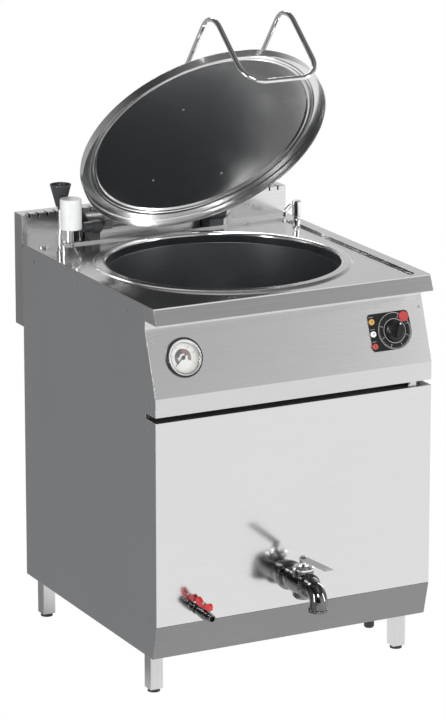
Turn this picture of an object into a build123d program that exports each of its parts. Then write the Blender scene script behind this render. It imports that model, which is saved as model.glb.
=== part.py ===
from build123d import *
import math
import os

# Free-standing jacketed boiling kettle.  Units are millimetres, +Z is up,
# -Y is the operator's side.  The origin is the bottom centre of the whole
# object's bounding box, with the lid standing open.

os.makedirs("parts", exist_ok=True)

# ---------------------------------------------------------------- dimensions
CAB_W = 700.0          # cabinet width
CAB_D = 700.0          # front panel face to rear panel face
Y_FRONT = -279.0       # Y of the front panel's face
TOP_Z = 911.0          # worktop border height
RECESS = 5.0           # depth of the pressed well inside the border
BASE_Z = 100.0         # underside of the cabinet
KICK_Z = 180.0         # top of the plinth
KICK_BACK = 20.5       # how far the plinth leans back at its foot
SLOT_LO, SLOT_HI = 653.5, 666.0   # finger slot between the front panels
SLOT_D = 47.0
BEND_Z = 708.0         # where the control panel starts to lean back
CTRL_Z, CTRL_Y = 855.0, 50.8      # top of the leaning control panel
APRON_Z, APRON_Y = 875.0, -4.5    # foot of the worktop's front apron
EDGE_Y = 9.7           # worktop's top front edge
FLUE_Y0, FLUE_Y1 = 704.0, 745.0   # rear upstand, front and back faces
FLUE_LO, FLUE_HI = 710.0, 978.0
SHEET = 1.5

PAN_X, PAN_Y = 347.0, 348.0       # pan centre, from the cabinet's front left
PAN_R = 270.0          # pan inner radius
PAN_FLOOR = 360.0      # height of the pan's floor at its knuckle
JACKET_R = 298.0

LID_R = 300.0          # lid outer radius
LID_LIP = 20.0         # height of the lid's turned-down rim
LID_SEAT = 912.2       # height of the rim's lower edge when the lid is shut
HINGE_Y, HINGE_Z = 657.0, 944.5   # lid hinge axis
LID_OPEN = 51.5        # degrees from shut to the stored pose
GRIP_HALF = 93.0       # half the distance between the grip's legs
GRIP_R = 6.0

TAP_X, TAP_Z = 335.0, 254.0       # discharge tap axis
PLUG_Y = -65.0         # tap plug axis
SPOUT_Y = -138.0
LEVER_TIP = -187.0     # front of the tap lever, the object's front
VALVE_X, VALVE_Z = 100.0, 210.0   # jacket drain ball valve axis
VALVE_Y = -37.0        # its ball's centre

GAUGE_X, GAUGE_S = 84.3, 84.4     # along the width, and up the panel's slope
GAUGE_R = 45.0
KNOB_X, KNOB_S = 616.3, 80.4
KNOB_R = 25.0

RISER_X, RISER_Y = 52.9, 600.0    # jacket filling pipe
SAFE_X, SAFE_Y = 57.7, 555.0      # safety valve in front of it
WTAP_X, WTAP_Y = 634.0, 525.0     # water inlet pillar


def fx(x):
    """X in the object's frame of a distance from the cabinet's left side."""
    return x - CAB_W / 2


def fy(y):
    """Y in the object's frame of a distance behind the front panel."""
    return y + Y_FRONT


# Planes that several pieces share.
SLOPE_L = math.hypot(CTRL_Y, CTRL_Z - BEND_Z)
SL_Y, SL_Z = CTRL_Y / SLOPE_L, (CTRL_Z - BEND_Z) / SLOPE_L
slope = Plane(origin=(0, fy(0), BEND_Z), x_dir=(1, 0, 0), z_dir=(0, -SL_Z, SL_Y))


def on_slope(x, s, h=0.0):
    """Plane on the control panel's face, at width x and distance s up it."""
    return Plane(origin=slope.from_local_coords((fx(x), s, h)), x_dir=(1, 0, 0), z_dir=slope.z_dir)


side = Plane(origin=(-CAB_W / 2, 0, 0), x_dir=(0, 1, 0), z_dir=(1, 0, 0))   # sketch x is Y, y is Z

LC, LS = math.cos(math.radians(LID_OPEN)), math.sin(math.radians(LID_OPEN))
# Frame of the open lid: local coordinates are those of the shut lid.
hinge_frame = Plane(origin=(0, fy(HINGE_Y), HINGE_Z), x_dir=(1, 0, 0), z_dir=(0, LS, LC))


def lid_pt(x, y, z):
    """A point given where it lies with the lid shut, moved with the open lid."""
    return hinge_frame.from_local_coords((fx(x), y - HINGE_Y, z - HINGE_Z))


lid_up = Vector(0, LS, LC)
lid_axis_pt = lid_pt(PAN_X, PAN_Y, 0)
lid_profile = Plane(origin=lid_axis_pt, x_dir=(1, 0, 0), z_dir=(0, -LC, LS))  # sketch y is shut height
lid_axis = Axis(lid_axis_pt, lid_up)

# ------------------------------------------------------------------ cabinet
# Worktop: a border, a pressed well, a raised collar round the pan's mouth
# and a front apron that leans out towards its foot.
with BuildPart() as worktop:
    WELL = (12.0, 22.0, 674.0, 654.0)
    with BuildSketch(Plane.XY.offset(TOP_Z - 3)):
        with Locations((0, fy((EDGE_Y + FLUE_Y0) / 2))):
            Rectangle(CAB_W, FLUE_Y0 - EDGE_Y)
        with Locations((fx((WELL[0] + WELL[2]) / 2), fy((WELL[1] + WELL[3]) / 2))):
            RectangleRounded(WELL[2] - WELL[0], WELL[3] - WELL[1], 16, mode=Mode.SUBTRACT)
    extrude(amount=3)
    with BuildSketch(Plane.XY.offset(TOP_Z - RECESS - 2)):
        with Locations((fx((WELL[0] + WELL[2]) / 2), fy((WELL[1] + WELL[3]) / 2))):
            RectangleRounded(WELL[2] - WELL[0], WELL[3] - WELL[1], 16)
            RectangleRounded(WELL[2] - WELL[0] - 4, WELL[3] - WELL[1] - 4, 14, mode=Mode.SUBTRACT)
    extrude(amount=RECESS + 2)
    with BuildSketch(Plane.XY.offset(TOP_Z - RECESS - 2)):
        with Locations((fx((WELL[0] + WELL[2]) / 2), fy((WELL[1] + WELL[3]) / 2))):
            RectangleRounded(WELL[2] - WELL[0], WELL[3] - WELL[1], 16)
        with Locations((fx(PAN_X), fy(PAN_Y))):
            Circle(299, mode=Mode.SUBTRACT)
    extrude(amount=2)
    # collar
    with BuildSketch(Plane(origin=(fx(PAN_X), fy(PAN_Y), 0), x_dir=(1, 0, 0), z_dir=(0, -1, 0))):
        with BuildLine():
            a = Polyline((301, 904), (302, 906), (300.4, 906))
            b = Spline((300.4, 906), (297.0, 908.2), (292, 910.7), tangents=((-1, 0.25), (-1, 0.05)))
            c = Line(b @ 1, (277, 911.2))
            d = Spline(c @ 1, (272.2, 909.2), (270, 903), tangents=((-1, 0), (0, -1)))
            e = Polyline((270, 903), (270, 886), (272, 886), (272, 903), (278, 909), (292, 908.6), (298.5, 904), (301, 904))
        make_face()
    revolve(axis=Axis((fx(PAN_X), fy(PAN_Y), 0), (0, 0, 1)))
    # apron, with a return at its foot
    with BuildSketch(side):
        Polygon((fy(EDGE_Y), TOP_Z - 3), (fy(EDGE_Y) + 0.9, TOP_Z), (fy(EDGE_Y) + 4, TOP_Z), (fy(EDGE_Y) + 4, TOP_Z - 3),
                (fy(EDGE_Y) + 2, TOP_Z - 5), (fy(APRON_Y) + 2, APRON_Z + 2), (fy(CTRL_Y) - 1.0, APRON_Z + 2),
                (fy(CTRL_Y) - 1.0, APRON_Z), (fy(APRON_Y), APRON_Z), align=None)
    extrude(amount=CAB_W)
    # apron end caps
    with BuildSketch(side):
        Polygon((fy(EDGE_Y), TOP_Z - 3), (fy(CTRL_Y) - 1, TOP_Z - 3), (fy(CTRL_Y) - 1, APRON_Z), (fy(APRON_Y), APRON_Z), align=None)
    extrude(amount=SHEET)
    with BuildSketch(side.offset(CAB_W - SHEET)):
        Polygon((fy(EDGE_Y), TOP_Z - 3), (fy(CTRL_Y) - 1, TOP_Z - 3), (fy(CTRL_Y) - 1, APRON_Z), (fy(APRON_Y), APRON_Z), align=None)
    extrude(amount=SHEET)
    # holes for the filling pipe and the water tap
    with Locations((fx(RISER_X), fy(RISER_Y), TOP_Z)):
        Hole(radius=7.0, depth=30)
    with Locations((fx(WTAP_X), fy(WTAP_Y), TOP_Z)):
        Hole(radius=8.0, depth=30)
worktop.part.label = "worktop"
export_step(worktop.part, "parts/worktop.step")

# Side panels: one folded sheet each, notched at the finger slot.
SIDE_OUT = [(SHEET + 0.35, KICK_Z), (KICK_BACK + 2.3, BASE_Z), (CAB_D - SHEET - 0.1, BASE_Z), (CAB_D - SHEET - 0.1, TOP_Z - 3.0),
            (CTRL_Y - 0.7, TOP_Z - 3.0), (CTRL_Y - 0.7, APRON_Z + 0.1), (CTRL_Y + 1.8, APRON_Z + 0.1), (CTRL_Y + 1.8, CTRL_Z - 0.7),
            (SHEET + 0.2, BEND_Z - 0.8), (SHEET + 0.2, SLOT_HI + 1.8),
            (SLOT_D + 2.0, SLOT_HI + 1.8), (SLOT_D + 2.0, SLOT_LO - 1.8), (SHEET + 0.2, SLOT_LO - 1.8)]
SIDE_SCREWS = [(640, 879), (405, 879), (145, 879), (38, 690), (38, 630), (36, 190)]
with BuildPart() as side_panel_left:
    with BuildSketch(side):
        Polygon(*[(fy(y), z) for y, z in SIDE_OUT], align=None)
        with Locations(*[(fy(y), z) for y, z in SIDE_SCREWS]):
            Circle(2.0, mode=Mode.SUBTRACT)
    extrude(amount=SHEET)
    # front flange and foot flange
    with BuildSketch(Plane.XY.offset(KICK_Z + 4)):
        with Locations((-CAB_W / 2 + 10, fy(SHEET + 0.2 + 0.75))):
            Rectangle(20, SHEET)
    extrude(amount=SLOT_LO - KICK_Z - 10)
    with BuildSketch(Plane.XY.offset(BASE_Z)):
        with Locations((-CAB_W / 2 + 12, fy((KICK_BACK + 8 + CAB_D - 3) / 2))):
            Rectangle(24, CAB_D - 3 - KICK_BACK - 8)
    extrude(amount=SHEET)
side_panel_left.part.label = "side_panel_left"
export_step(side_panel_left.part, "parts/side_panel_left.step")

with BuildPart() as side_panel_right:
    with BuildSketch(side.offset(CAB_W - SHEET)):
        Polygon(*[(fy(y), z) for y, z in SIDE_OUT], align=None)
        with Locations(*[(fy(y), z) for y, z in SIDE_SCREWS]):
            Circle(2.0, mode=Mode.SUBTRACT)
    extrude(amount=SHEET)
    with BuildSketch(Plane.XY.offset(KICK_Z + 4)):
        with Locations((CAB_W / 2 - 10, fy(SHEET + 0.2 + 0.75))):
            Rectangle(20, SHEET)
    extrude(amount=SLOT_LO - KICK_Z - 10)
    with BuildSketch(Plane.XY.offset(BASE_Z)):
        with Locations((CAB_W / 2 - 12, fy((KICK_BACK + 8 + CAB_D - 3) / 2))):
            Rectangle(24, CAB_D - 3 - KICK_BACK - 8)
    extrude(amount=SHEET)
side_panel_right.part.label = "side_panel_right"
export_step(side_panel_right.part, "parts/side_panel_right.step")

# Rear panel, with a hole for the water inlet.
INLET_X, INLET_Z = 560.0, 190.0
GLAND_X, GLAND_Y = 578.0, 61.0     # cable gland under the base
with BuildPart() as rear_panel:
    with BuildSketch(Plane.XZ.offset(-fy(CAB_D))):
        with Locations((0, (BASE_Z + TOP_Z - 3.0) / 2)):
            Rectangle(CAB_W, TOP_Z - 3.0 - BASE_Z)
        with Locations((fx(INLET_X), INLET_Z)):
            Circle(11.5, mode=Mode.SUBTRACT)
        with Locations((0, 420)):
            with GridLocations(0, 14, 1, 12):
                SlotOverall(180, 5, mode=Mode.SUBTRACT)
    extrude(amount=SHEET)
rear_panel.part.label = "rear_panel"
export_step(rear_panel.part, "parts/rear_panel.step")

# Base tray, lying on the side panels' foot flanges, open where the legs pass.
with BuildPart() as base_tray:
    with BuildSketch(Plane.XY.offset(BASE_Z + SHEET)):
        with Locations((0, fy(353))):
            Rectangle(CAB_W - 2 * SHEET - 1, 630)
            with GridLocations(70, 36, 5, 4):
                SlotOverall(44, 8, mode=Mode.SUBTRACT)
        with Locations((fx(GLAND_X), fy(GLAND_Y))):
            Circle(8.3, mode=Mode.SUBTRACT)
    extrude(amount=SHEET)
    with BuildSketch(Plane.XY.offset(BASE_Z + 2 * SHEET)):
        with Locations((0, fy(353))):
            Rectangle(CAB_W - 2 * SHEET - 1, 630)
            Rectangle(CAB_W - 4 * SHEET - 1, 630 - 2 * SHEET, mode=Mode.SUBTRACT)
    extrude(amount=18)
base_tray.part.label = "base_tray"
export_step(base_tray.part, "parts/base_tray.step")

# Front panel: flat sheet with a deep top return that forms the slot's floor.
with BuildPart() as front_panel:
    with BuildSketch(Plane.XZ.offset(-fy(SHEET))):
        with Locations((0, (KICK_Z + SLOT_LO) / 2)):
            Rectangle(CAB_W, SLOT_LO - KICK_Z)
        with Locations((fx(TAP_X), TAP_Z)):
            Circle(26.0, mode=Mode.SUBTRACT)
        with Locations((fx(VALVE_X), VALVE_Z)):
            Circle(9.0, mode=Mode.SUBTRACT)
    extrude(amount=SHEET)
    with BuildSketch(Plane.XY.offset(SLOT_LO - SHEET)):
        with Locations((0, fy(SLOT_D / 2))):
            Rectangle(CAB_W, SLOT_D)
    extrude(amount=SHEET)
    with BuildSketch(Plane.XY.offset(KICK_Z)):
        with Locations((0, fy(10))):
            Rectangle(CAB_W - 46, 20)
    extrude(amount=SHEET)
    fillet(front_panel.edges().filter_by(Axis.X).filter_by_position(Axis.Y, fy(-0.01), fy(0.01)), 1.2)
front_panel.part.label = "front_panel"
export_step(front_panel.part, "parts/front_panel.step")

# Plinth panel that leans back towards its foot.
with BuildPart() as kick_panel:
    with BuildSketch(side):
        Polygon((fy(0.2), KICK_Z - 0.5), (fy(1.7), KICK_Z - 0.5), (fy(KICK_BACK + 1.6), BASE_Z + 1.5), (fy(KICK_BACK + 24), BASE_Z + 1.5 - 0.05),
                (fy(KICK_BACK + 24), BASE_Z), (fy(KICK_BACK), BASE_Z), align=None)
    extrude(amount=CAB_W)
    with BuildSketch(side):
        Polygon((fy(KICK_BACK + 1.7), BASE_Z - 0.5), (fy(KICK_BACK + 30), BASE_Z - 0.5), (fy(KICK_BACK + 30), BASE_Z + 1.6), (fy(KICK_BACK + 1.7), BASE_Z + 1.6), align=None)
    extrude(amount=1.7, mode=Mode.SUBTRACT)
    with BuildSketch(side.offset(CAB_W - 1.7)):
        Polygon((fy(KICK_BACK + 1.7), BASE_Z - 0.5), (fy(KICK_BACK + 30), BASE_Z - 0.5), (fy(KICK_BACK + 30), BASE_Z + 1.6), (fy(KICK_BACK + 1.7), BASE_Z + 1.6), align=None)
    extrude(amount=1.7, mode=Mode.SUBTRACT)
    with BuildSketch(Plane.XY.offset(BASE_Z - 0.5)):
        with Locations((-CAB_W / 2 + 12.6, fy(KICK_BACK + 16)), (CAB_W / 2 - 12.6, fy(KICK_BACK + 16))):
            Rectangle(25.2, 17.0)
    extrude(amount=3, mode=Mode.SUBTRACT)
kick_panel.part.label = "kick_panel"
export_step(kick_panel.part, "parts/kick_panel.step")

# Control panel: upright strip over the slot, then a face leaning back.
with BuildPart() as control_panel:
    with BuildSketch(side):
        with BuildLine():
            Polyline((fy(0), SLOT_HI), (fy(0), BEND_Z), (fy(CTRL_Y), CTRL_Z), (fy(CTRL_Y), APRON_Z - 0.3), (fy(CTRL_Y) + SHEET, APRON_Z - 0.3),
                     (fy(CTRL_Y) + SHEET, CTRL_Z - 0.6), (fy(SHEET), BEND_Z - 0.4), (fy(SHEET), SLOT_HI + SHEET), (fy(SLOT_D), SLOT_HI + SHEET),
                     (fy(SLOT_D), SLOT_HI), (fy(0), SLOT_HI))
        make_face()
    extrude(amount=CAB_W)
    # openings for the gauge, the selector spindle and the lamps
    with BuildSketch(on_slope(GAUGE_X, GAUGE_S)):
        Circle(40.5)
    extrude(amount=6, both=True, mode=Mode.SUBTRACT)
    with BuildSketch(on_slope(KNOB_X, KNOB_S)):
        Circle(7.0)
    extrude(amount=6, both=True, mode=Mode.SUBTRACT)
    with BuildSketch(on_slope(560.4, 78.5)):
        with Locations((0, 28.0), (0, 0), (0, -28.0)):
            Circle(5.2)
    extrude(amount=6, both=True, mode=Mode.SUBTRACT)
control_panel.part.label = "control_panel"
export_step(control_panel.part, "parts/control_panel.step")

# Strip that closes the finger slot at the back, along the rear edges of the
# two flanges that make its floor and its ceiling.
with BuildPart() as slot_strip:
    with BuildSketch(Plane.XY.offset(SLOT_LO - 4.0)):
        with Locations((0, fy(SLOT_D + 0.9))):
            Rectangle(CAB_W - 2 * SHEET - 1.0, SHEET)
    extrude(amount=SLOT_HI - SLOT_LO + 8.0)
slot_strip.part.label = "slot_strip"
export_step(slot_strip.part, "parts/slot_strip.step")

# Rear upstand, a hollow box with a comb of vent slits along its top front edge.
with BuildPart() as flue_upstand:
    with BuildSketch(side):
        Polygon((fy(CAB_D + 0.2), FLUE_LO), (fy(FLUE_Y1), FLUE_LO), (fy(FLUE_Y1), FLUE_HI), (fy(FLUE_Y0 + 0.2), FLUE_HI),
                (fy(FLUE_Y0 + 0.2), TOP_Z - 10), (fy(CAB_D + 0.2), TOP_Z - 10), align=None)
    extrude(amount=CAB_W)
    with BuildSketch(side.offset(SHEET)):
        Polygon((fy(CAB_D + 1.7), FLUE_LO + SHEET), (fy(FLUE_Y1 - SHEET), FLUE_LO + SHEET), (fy(FLUE_Y1 - SHEET), FLUE_HI - SHEET),
                (fy(FLUE_Y0 + 1.7), FLUE_HI - SHEET), (fy(FLUE_Y0 + 1.7), TOP_Z - 11.5), (fy(CAB_D + 1.7), TOP_Z - 11.5), align=None)
    extrude(amount=CAB_W - 2 * SHEET, mode=Mode.SUBTRACT)
    with BuildSketch(Plane.XY.offset(FLUE_HI - 9)):
        with Locations((0, fy(FLUE_Y0 + 8.5))):
            with GridLocations(22.7, 0, 30, 1):
                Rectangle(4.2, 24)
    extrude(amount=12, mode=Mode.SUBTRACT)
    with BuildSketch(Plane.XY.offset(FLUE_HI - SHEET - 1)):
        with Locations((0, fy(FLUE_Y0 + 3.7))):
            Rectangle(CAB_W - 18, 4.0)
    extrude(amount=4, mode=Mode.SUBTRACT)
flue_upstand.part.label = "flue_upstand"
export_step(flue_upstand.part, "parts/flue_upstand.step")

# Inner frame: four corner angles tied by flat rails.
with BuildPart() as inner_frame:
    FX0, FX1, FY0, FY1 = SHEET + 0.3, CAB_W - SHEET - 0.3, 56.0, 694.0
    with BuildSketch(Plane.XY.offset(BASE_Z + 2 * SHEET)):
        for cx, sx in ((FX0, 1), (FX1, -1)):
            for cy, sy in ((FY0, 1), (FY1 - 0, -1)):
                with Locations((fx(cx + sx * 14.2), fy(cy + sy * 1.0))):
                    Rectangle(25, 2)
                with Locations((fx(cx + sx * 2.7), fy(cy + sy * 12.5))):
                    Rectangle(2, 25)
    extrude(amount=885 - BASE_Z - 2 * SHEET)
    for zz in (500.0, 862.0):
        with BuildSketch(Plane.XY.offset(zz)):
            for cx, sx in ((FX0, 1), (FX1, -1)):
                with Locations((fx(cx + sx * 2.7), fy((FY0 + FY1) / 2))):
                    Rectangle(2, FY1 - FY0)
        extrude(amount=20)
    with BuildSketch(Plane.XY.offset(862.0)):
        for cy, sy in ((FY0, 1), (FY1, -1)):
            with Locations((0, fy(cy + sy * 1.0))):
                Rectangle(FX1 - FX0 - 6, 2)
    extrude(amount=20)
    with BuildSketch(Plane.XY.offset(500.0)):
        with Locations((0, fy(FY1 - 1.0))):
            Rectangle(FX1 - FX0 - 6, 2)
    extrude(amount=20)
inner_frame.part.label = "inner_frame"
export_step(inner_frame.part, "parts/inner_frame.step")

# Four square tube legs with top plates under the base, one group.
LEG = 32.0
LEG_X, LEG_YF, LEG_YR = 35.0, 86.5, 665.0
with BuildPart() as legs:
    with BuildSketch(Plane.XY.offset(8.0)):
        with Locations(*[(fx(x), fy(y)) for x in (LEG_X, CAB_W - LEG_X) for y in (LEG_YF, LEG_YR)]):
            RectangleRounded(LEG, LEG, 2.0)
            RectangleRounded(LEG - 3, LEG - 3, 1.0, mode=Mode.SUBTRACT)
    extrude(amount=BASE_Z - 3.0 - 8.0)
    with BuildSketch(Plane.XY.offset(BASE_Z - 3.0)):
        with Locations(*[(fx(x), fy(y)) for x in (LEG_X, CAB_W - LEG_X) for y in (LEG_YF, LEG_YR)]):
            RectangleRounded(54, 54, 4.0)
    extrude(amount=3.0)
    with BuildSketch(Plane.XY.offset(8.0)):
        with Locations(*[(fx(x), fy(y)) for x in (LEG_X, CAB_W - LEG_X) for y in (LEG_YF, LEG_YR)]):
            RectangleRounded(LEG - 3, LEG - 3, 1.0)
            Circle(5.2, mode=Mode.SUBTRACT)
    extrude(amount=4.0)
legs.part.label = "legs"
export_step(legs.part, "parts/legs.step")

# Four levelling feet: a plastic foot on a threaded stem, one group.
with BuildPart() as levelling_feet:
    with BuildSketch(Plane.XY):
        with Locations(*[(fx(x), fy(y)) for x in (LEG_X, CAB_W - LEG_X) for y in (LEG_YF, LEG_YR)]):
            Circle(14.5)
    extrude(amount=7.9, taper=6)
    with BuildSketch(Plane.XY.offset(7.9)):
        with Locations(*[(fx(x), fy(y)) for x in (LEG_X, CAB_W - LEG_X) for y in (LEG_YF, LEG_YR)]):
            Circle(5.0)
    extrude(amount=42)
levelling_feet.part.label = "levelling_feet"
export_step(levelling_feet.part, "parts/levelling_feet.step")

# Catch that holds the front panel, in the finger slot.
with BuildPart() as panel_catch:
    with BuildSketch(Plane.XY.offset(SLOT_LO + 0.2)):
        with Locations((fx(655), fy(18))):
            RectangleRounded(22, 22, 2)
    extrude(amount=SLOT_HI - SLOT_LO - 0.4)
    with BuildSketch(Plane.XZ.offset(-fy(7.0))):
        with Locations((fx(648), (SLOT_LO + SLOT_HI) / 2)):
            Circle(3.6)
    extrude(amount=4.0)
panel_catch.part.label = "panel_catch"
export_step(panel_catch.part, "parts/panel_catch.step")

# Pan-head screws through the side panels, one group.
with BuildPart() as panel_screws:
    with BuildSketch(side.offset(-1.1)):
        with Locations(*[(fy(y), z) for y, z in SIDE_SCREWS]):
            Circle(3.4)
    extrude(amount=1.1)
    with BuildSketch(side):
        with Locations(*[(fy(y), z) for y, z in SIDE_SCREWS]):
            Circle(1.9)
    extrude(amount=3.2)
    with BuildSketch(side.offset(CAB_W)):
        with Locations(*[(fy(y), z) for y, z in SIDE_SCREWS]):
            Circle(3.4)
    extrude(amount=1.1)
    with BuildSketch(side.offset(CAB_W - 3.2)):
        with Locations(*[(fy(y), z) for y, z in SIDE_SCREWS]):
            Circle(1.9)
    extrude(amount=3.2)
panel_screws.part.label = "panel_screws"
export_step(panel_screws.part, "parts/panel_screws.step")

# ------------------------------------------------------- pan, jacket, heating
pan_profile = Plane(origin=(fx(PAN_X), fy(PAN_Y), 0), x_dir=(1, 0, 0), z_dir=(0, -1, 0))
pan_axis = Axis((fx(PAN_X), fy(PAN_Y), 0), (0, 0, 1))
WALL = 2.5

# Inner pan: deep round vessel whose floor falls to a central drain.
with BuildPart() as inner_pan:
    with BuildSketch(pan_profile):
        with BuildLine():
            Line((PAN_R, 885.9), (PAN_R, PAN_FLOOR + 40))
            ThreePointArc((PAN_R, PAN_FLOOR + 40), (PAN_R - 11.7, PAN_FLOOR + 11.7), (PAN_R - 40, PAN_FLOOR))
            Polyline((PAN_R - 40, PAN_FLOOR), (22, PAN_FLOOR - 12), (22, PAN_FLOOR - 12 - WALL), (PAN_R - 40, PAN_FLOOR - WALL))
            ThreePointArc((PAN_R - 40, PAN_FLOOR - WALL), (PAN_R - 9.9, PAN_FLOOR + 9.9), (PAN_R + WALL, PAN_FLOOR + 40))
            Polyline((PAN_R + WALL, PAN_FLOOR + 40), (PAN_R + WALL, 885.9), (PAN_R, 885.9))
        make_face()
    revolve(axis=pan_axis)
inner_pan.part.label = "inner_pan"
export_step(inner_pan.part, "parts/inner_pan.step")

# Steam jacket: outer vessel round the lower pan, with bosses cut for the
# heating elements at the back and the drain at its centre.
ELEM_Z = 314.0
with BuildPart() as steam_jacket:
    with BuildSketch(pan_profile):
        with BuildLine():
            Polyline((PAN_R + WALL + 0.1, 770), (JACKET_R, 756), (JACKET_R, 352), (268, 287), (26, 280), (26, 282), (267, 289),
                     (JACKET_R - 2, 353), (JACKET_R - 2, 754.6), (PAN_R + WALL + 0.1, 768))
            Line((PAN_R + WALL + 0.1, 768), (PAN_R + WALL + 0.1, 770))
        make_face()
    revolve(axis=pan_axis)
    with BuildSketch(Plane.XZ.offset(-fy(PAN_Y + 220))):
        with Locations((fx(PAN_X), ELEM_Z)):
            Circle(28.3)
    extrude(amount=-100, mode=Mode.SUBTRACT)
    # tappings for the gauge pipe, the filling pipe and the water drain
    with BuildSketch(Plane.YZ.offset(fx(PAN_X) - 400)):
        with Locations((fy(PAN_Y), 700)):
            Circle(5.0)
        with Locations((fy(PAN_Y + 60), 700)):
            Circle(8.2)
    extrude(amount=180, mode=Mode.SUBTRACT)
    with BuildSketch(Plane.XY.offset(270)):
        with Locations((fx(PAN_X - 160), fy(PAN_Y - 60))):
            Circle(7.2)
    extrude(amount=30, mode=Mode.SUBTRACT)
steam_jacket.part.label = "steam_jacket"
export_step(steam_jacket.part, "parts/steam_jacket.step")

# Mineral wool sleeve round the jacket.
with BuildPart() as jacket_insulation:
    with BuildSketch(Plane.XY.offset(375)):
        with Locations((fx(PAN_X), fy(PAN_Y))):
            Circle(316)
            Circle(JACKET_R + 0.3, mode=Mode.SUBTRACT)
    extrude(amount=265)
jacket_insulation.part.label = "jacket_insulation"
export_step(jacket_insulation.part, "parts/jacket_insulation.step")

# Immersion heater: flange stub at the jacket's back, three hairpin elements.
with BuildPart() as element_flange:
    with BuildSketch(Plane.XZ.offset(-fy(PAN_Y + 262))):
        with Locations((fx(PAN_X), ELEM_Z)):
            Circle(28.0)
            Circle(26.0, mode=Mode.SUBTRACT)
    extrude(amount=-48)
    with BuildSketch(Plane.XZ.offset(-fy(PAN_Y + 310))):
        with Locations((fx(PAN_X), ELEM_Z)):
            Circle(40.0)
            with PolarLocations(34, 6):
                Circle(3.3, mode=Mode.SUBTRACT)
    extrude(amount=-8)
element_flange.part.label = "element_flange"
export_step(element_flange.part, "parts/element_flange.step")

with BuildPart() as heating_elements:
    for ex in (-15.0, 0.0, 15.0):
        with BuildLine() as hairpin:
            p0 = (fx(PAN_X) + ex, fy(PAN_Y + 309.9), ELEM_Z - 10)
            p1 = (fx(PAN_X) + ex, fy(PAN_Y + 60), ELEM_Z - 10)
            p2 = (fx(PAN_X) + ex, fy(PAN_Y + 50), ELEM_Z)
            p3 = (fx(PAN_X) + ex, fy(PAN_Y + 60), ELEM_Z + 10)
            p4 = (fx(PAN_X) + ex, fy(PAN_Y + 309.9), ELEM_Z + 10)
            Line(p0, p1)
            ThreePointArc(p1, p2, p3)
            Line(p3, p4)
        with BuildSketch(Plane.XZ.offset(-fy(PAN_Y + 309.9))):
            with Locations((fx(PAN_X) + ex, ELEM_Z - 10)):
                Circle(3.6)
        sweep(path=hairpin.line)
heating_elements.part.label = "heating_elements"
export_step(heating_elements.part, "parts/heating_elements.step")

# Drain pipe from the pan's centre down and forward to the discharge tap.
DRAIN_RO, DRAIN_RI = 24.0, 21.0
with BuildPart() as drain_pipe:
    with BuildLine() as drain_line:
        FilletPolyline((fx(TAP_X), fy(1.7), TAP_Z), (fx(TAP_X), fy(PAN_Y - 60), TAP_Z), (fx(PAN_X), fy(PAN_Y), TAP_Z), radius=60)
    with BuildSketch(Plane.XZ.offset(-fy(1.7))):
        with Locations((fx(TAP_X), TAP_Z)):
            Circle(DRAIN_RO)
            Circle(DRAIN_RI, mode=Mode.SUBTRACT)
    sweep(path=drain_line.line)
    with BuildSketch(Plane.XY.offset(TAP_Z - 26)):
        with Locations((fx(PAN_X), fy(PAN_Y))):
            Circle(DRAIN_RO)
    extrude(amount=PAN_FLOOR - 12 - WALL - TAP_Z + 26 - 0.1)
    with BuildSketch(Plane.XY.offset(TAP_Z - 23)):
        with Locations((fx(PAN_X), fy(PAN_Y))):
            Circle(DRAIN_RI)
    extrude(amount=PAN_FLOOR - TAP_Z + 23, mode=Mode.SUBTRACT)
    with BuildSketch(Plane.XZ.offset(-fy(PAN_Y - 60))):
        with Locations((fx(TAP_X), TAP_Z)):
            Circle(DRAIN_RI - 0.5)
    extrude(amount=-62, mode=Mode.SUBTRACT)
drain_pipe.part.label = "drain_pipe"
export_step(drain_pipe.part, "parts/drain_pipe.step")

# Perforated strainer that drops into the drain.
with BuildPart() as drain_strainer:
    with BuildSketch(Plane.XY.offset(PAN_FLOOR - 11.8)):
        with Locations((fx(PAN_X), fy(PAN_Y))):
            Circle(21.0)
            with PolarLocations(14, 10):
                Circle(2.2, mode=Mode.SUBTRACT)
            with PolarLocations(7, 5):
                Circle(2.2, mode=Mode.SUBTRACT)
    extrude(amount=2.0)
    with BuildSketch(Plane.XY.offset(PAN_FLOOR - 9.8)):
        with Locations((fx(PAN_X), fy(PAN_Y))):
            Circle(2.5)
    extrude(amount=14)
    with BuildSketch(Plane.XY.offset(PAN_FLOOR - 9.8 + 14)):
        with Locations((fx(PAN_X), fy(PAN_Y))):
            Circle(6.0)
    extrude(amount=4)
drain_strainer.part.label = "drain_strainer"
export_step(drain_strainer.part, "parts/drain_strainer.step")

# Thin pipe from the jacket's bottom to the small drain valve.
with BuildPart() as jacket_drain_pipe:
    with BuildLine() as jd_line:
        FilletPolyline((fx(VALVE_X), fy(1.7), VALVE_Z), (fx(VALVE_X), fy(PAN_Y - 60), VALVE_Z), (fx(PAN_X - 160), fy(PAN_Y - 60), VALVE_Z),
                       (fx(PAN_X - 160), fy(PAN_Y - 60), 286.0), radius=30)
    with BuildSketch(Plane.XZ.offset(-fy(1.7))):
        with Locations((fx(VALVE_X), VALVE_Z)):
            Circle(6.5)
            Circle(5.0, mode=Mode.SUBTRACT)
    sweep(path=jd_line.line)
jacket_drain_pipe.part.label = "jacket_drain_pipe"
export_step(jacket_drain_pipe.part, "parts/jacket_drain_pipe.step")

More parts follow.
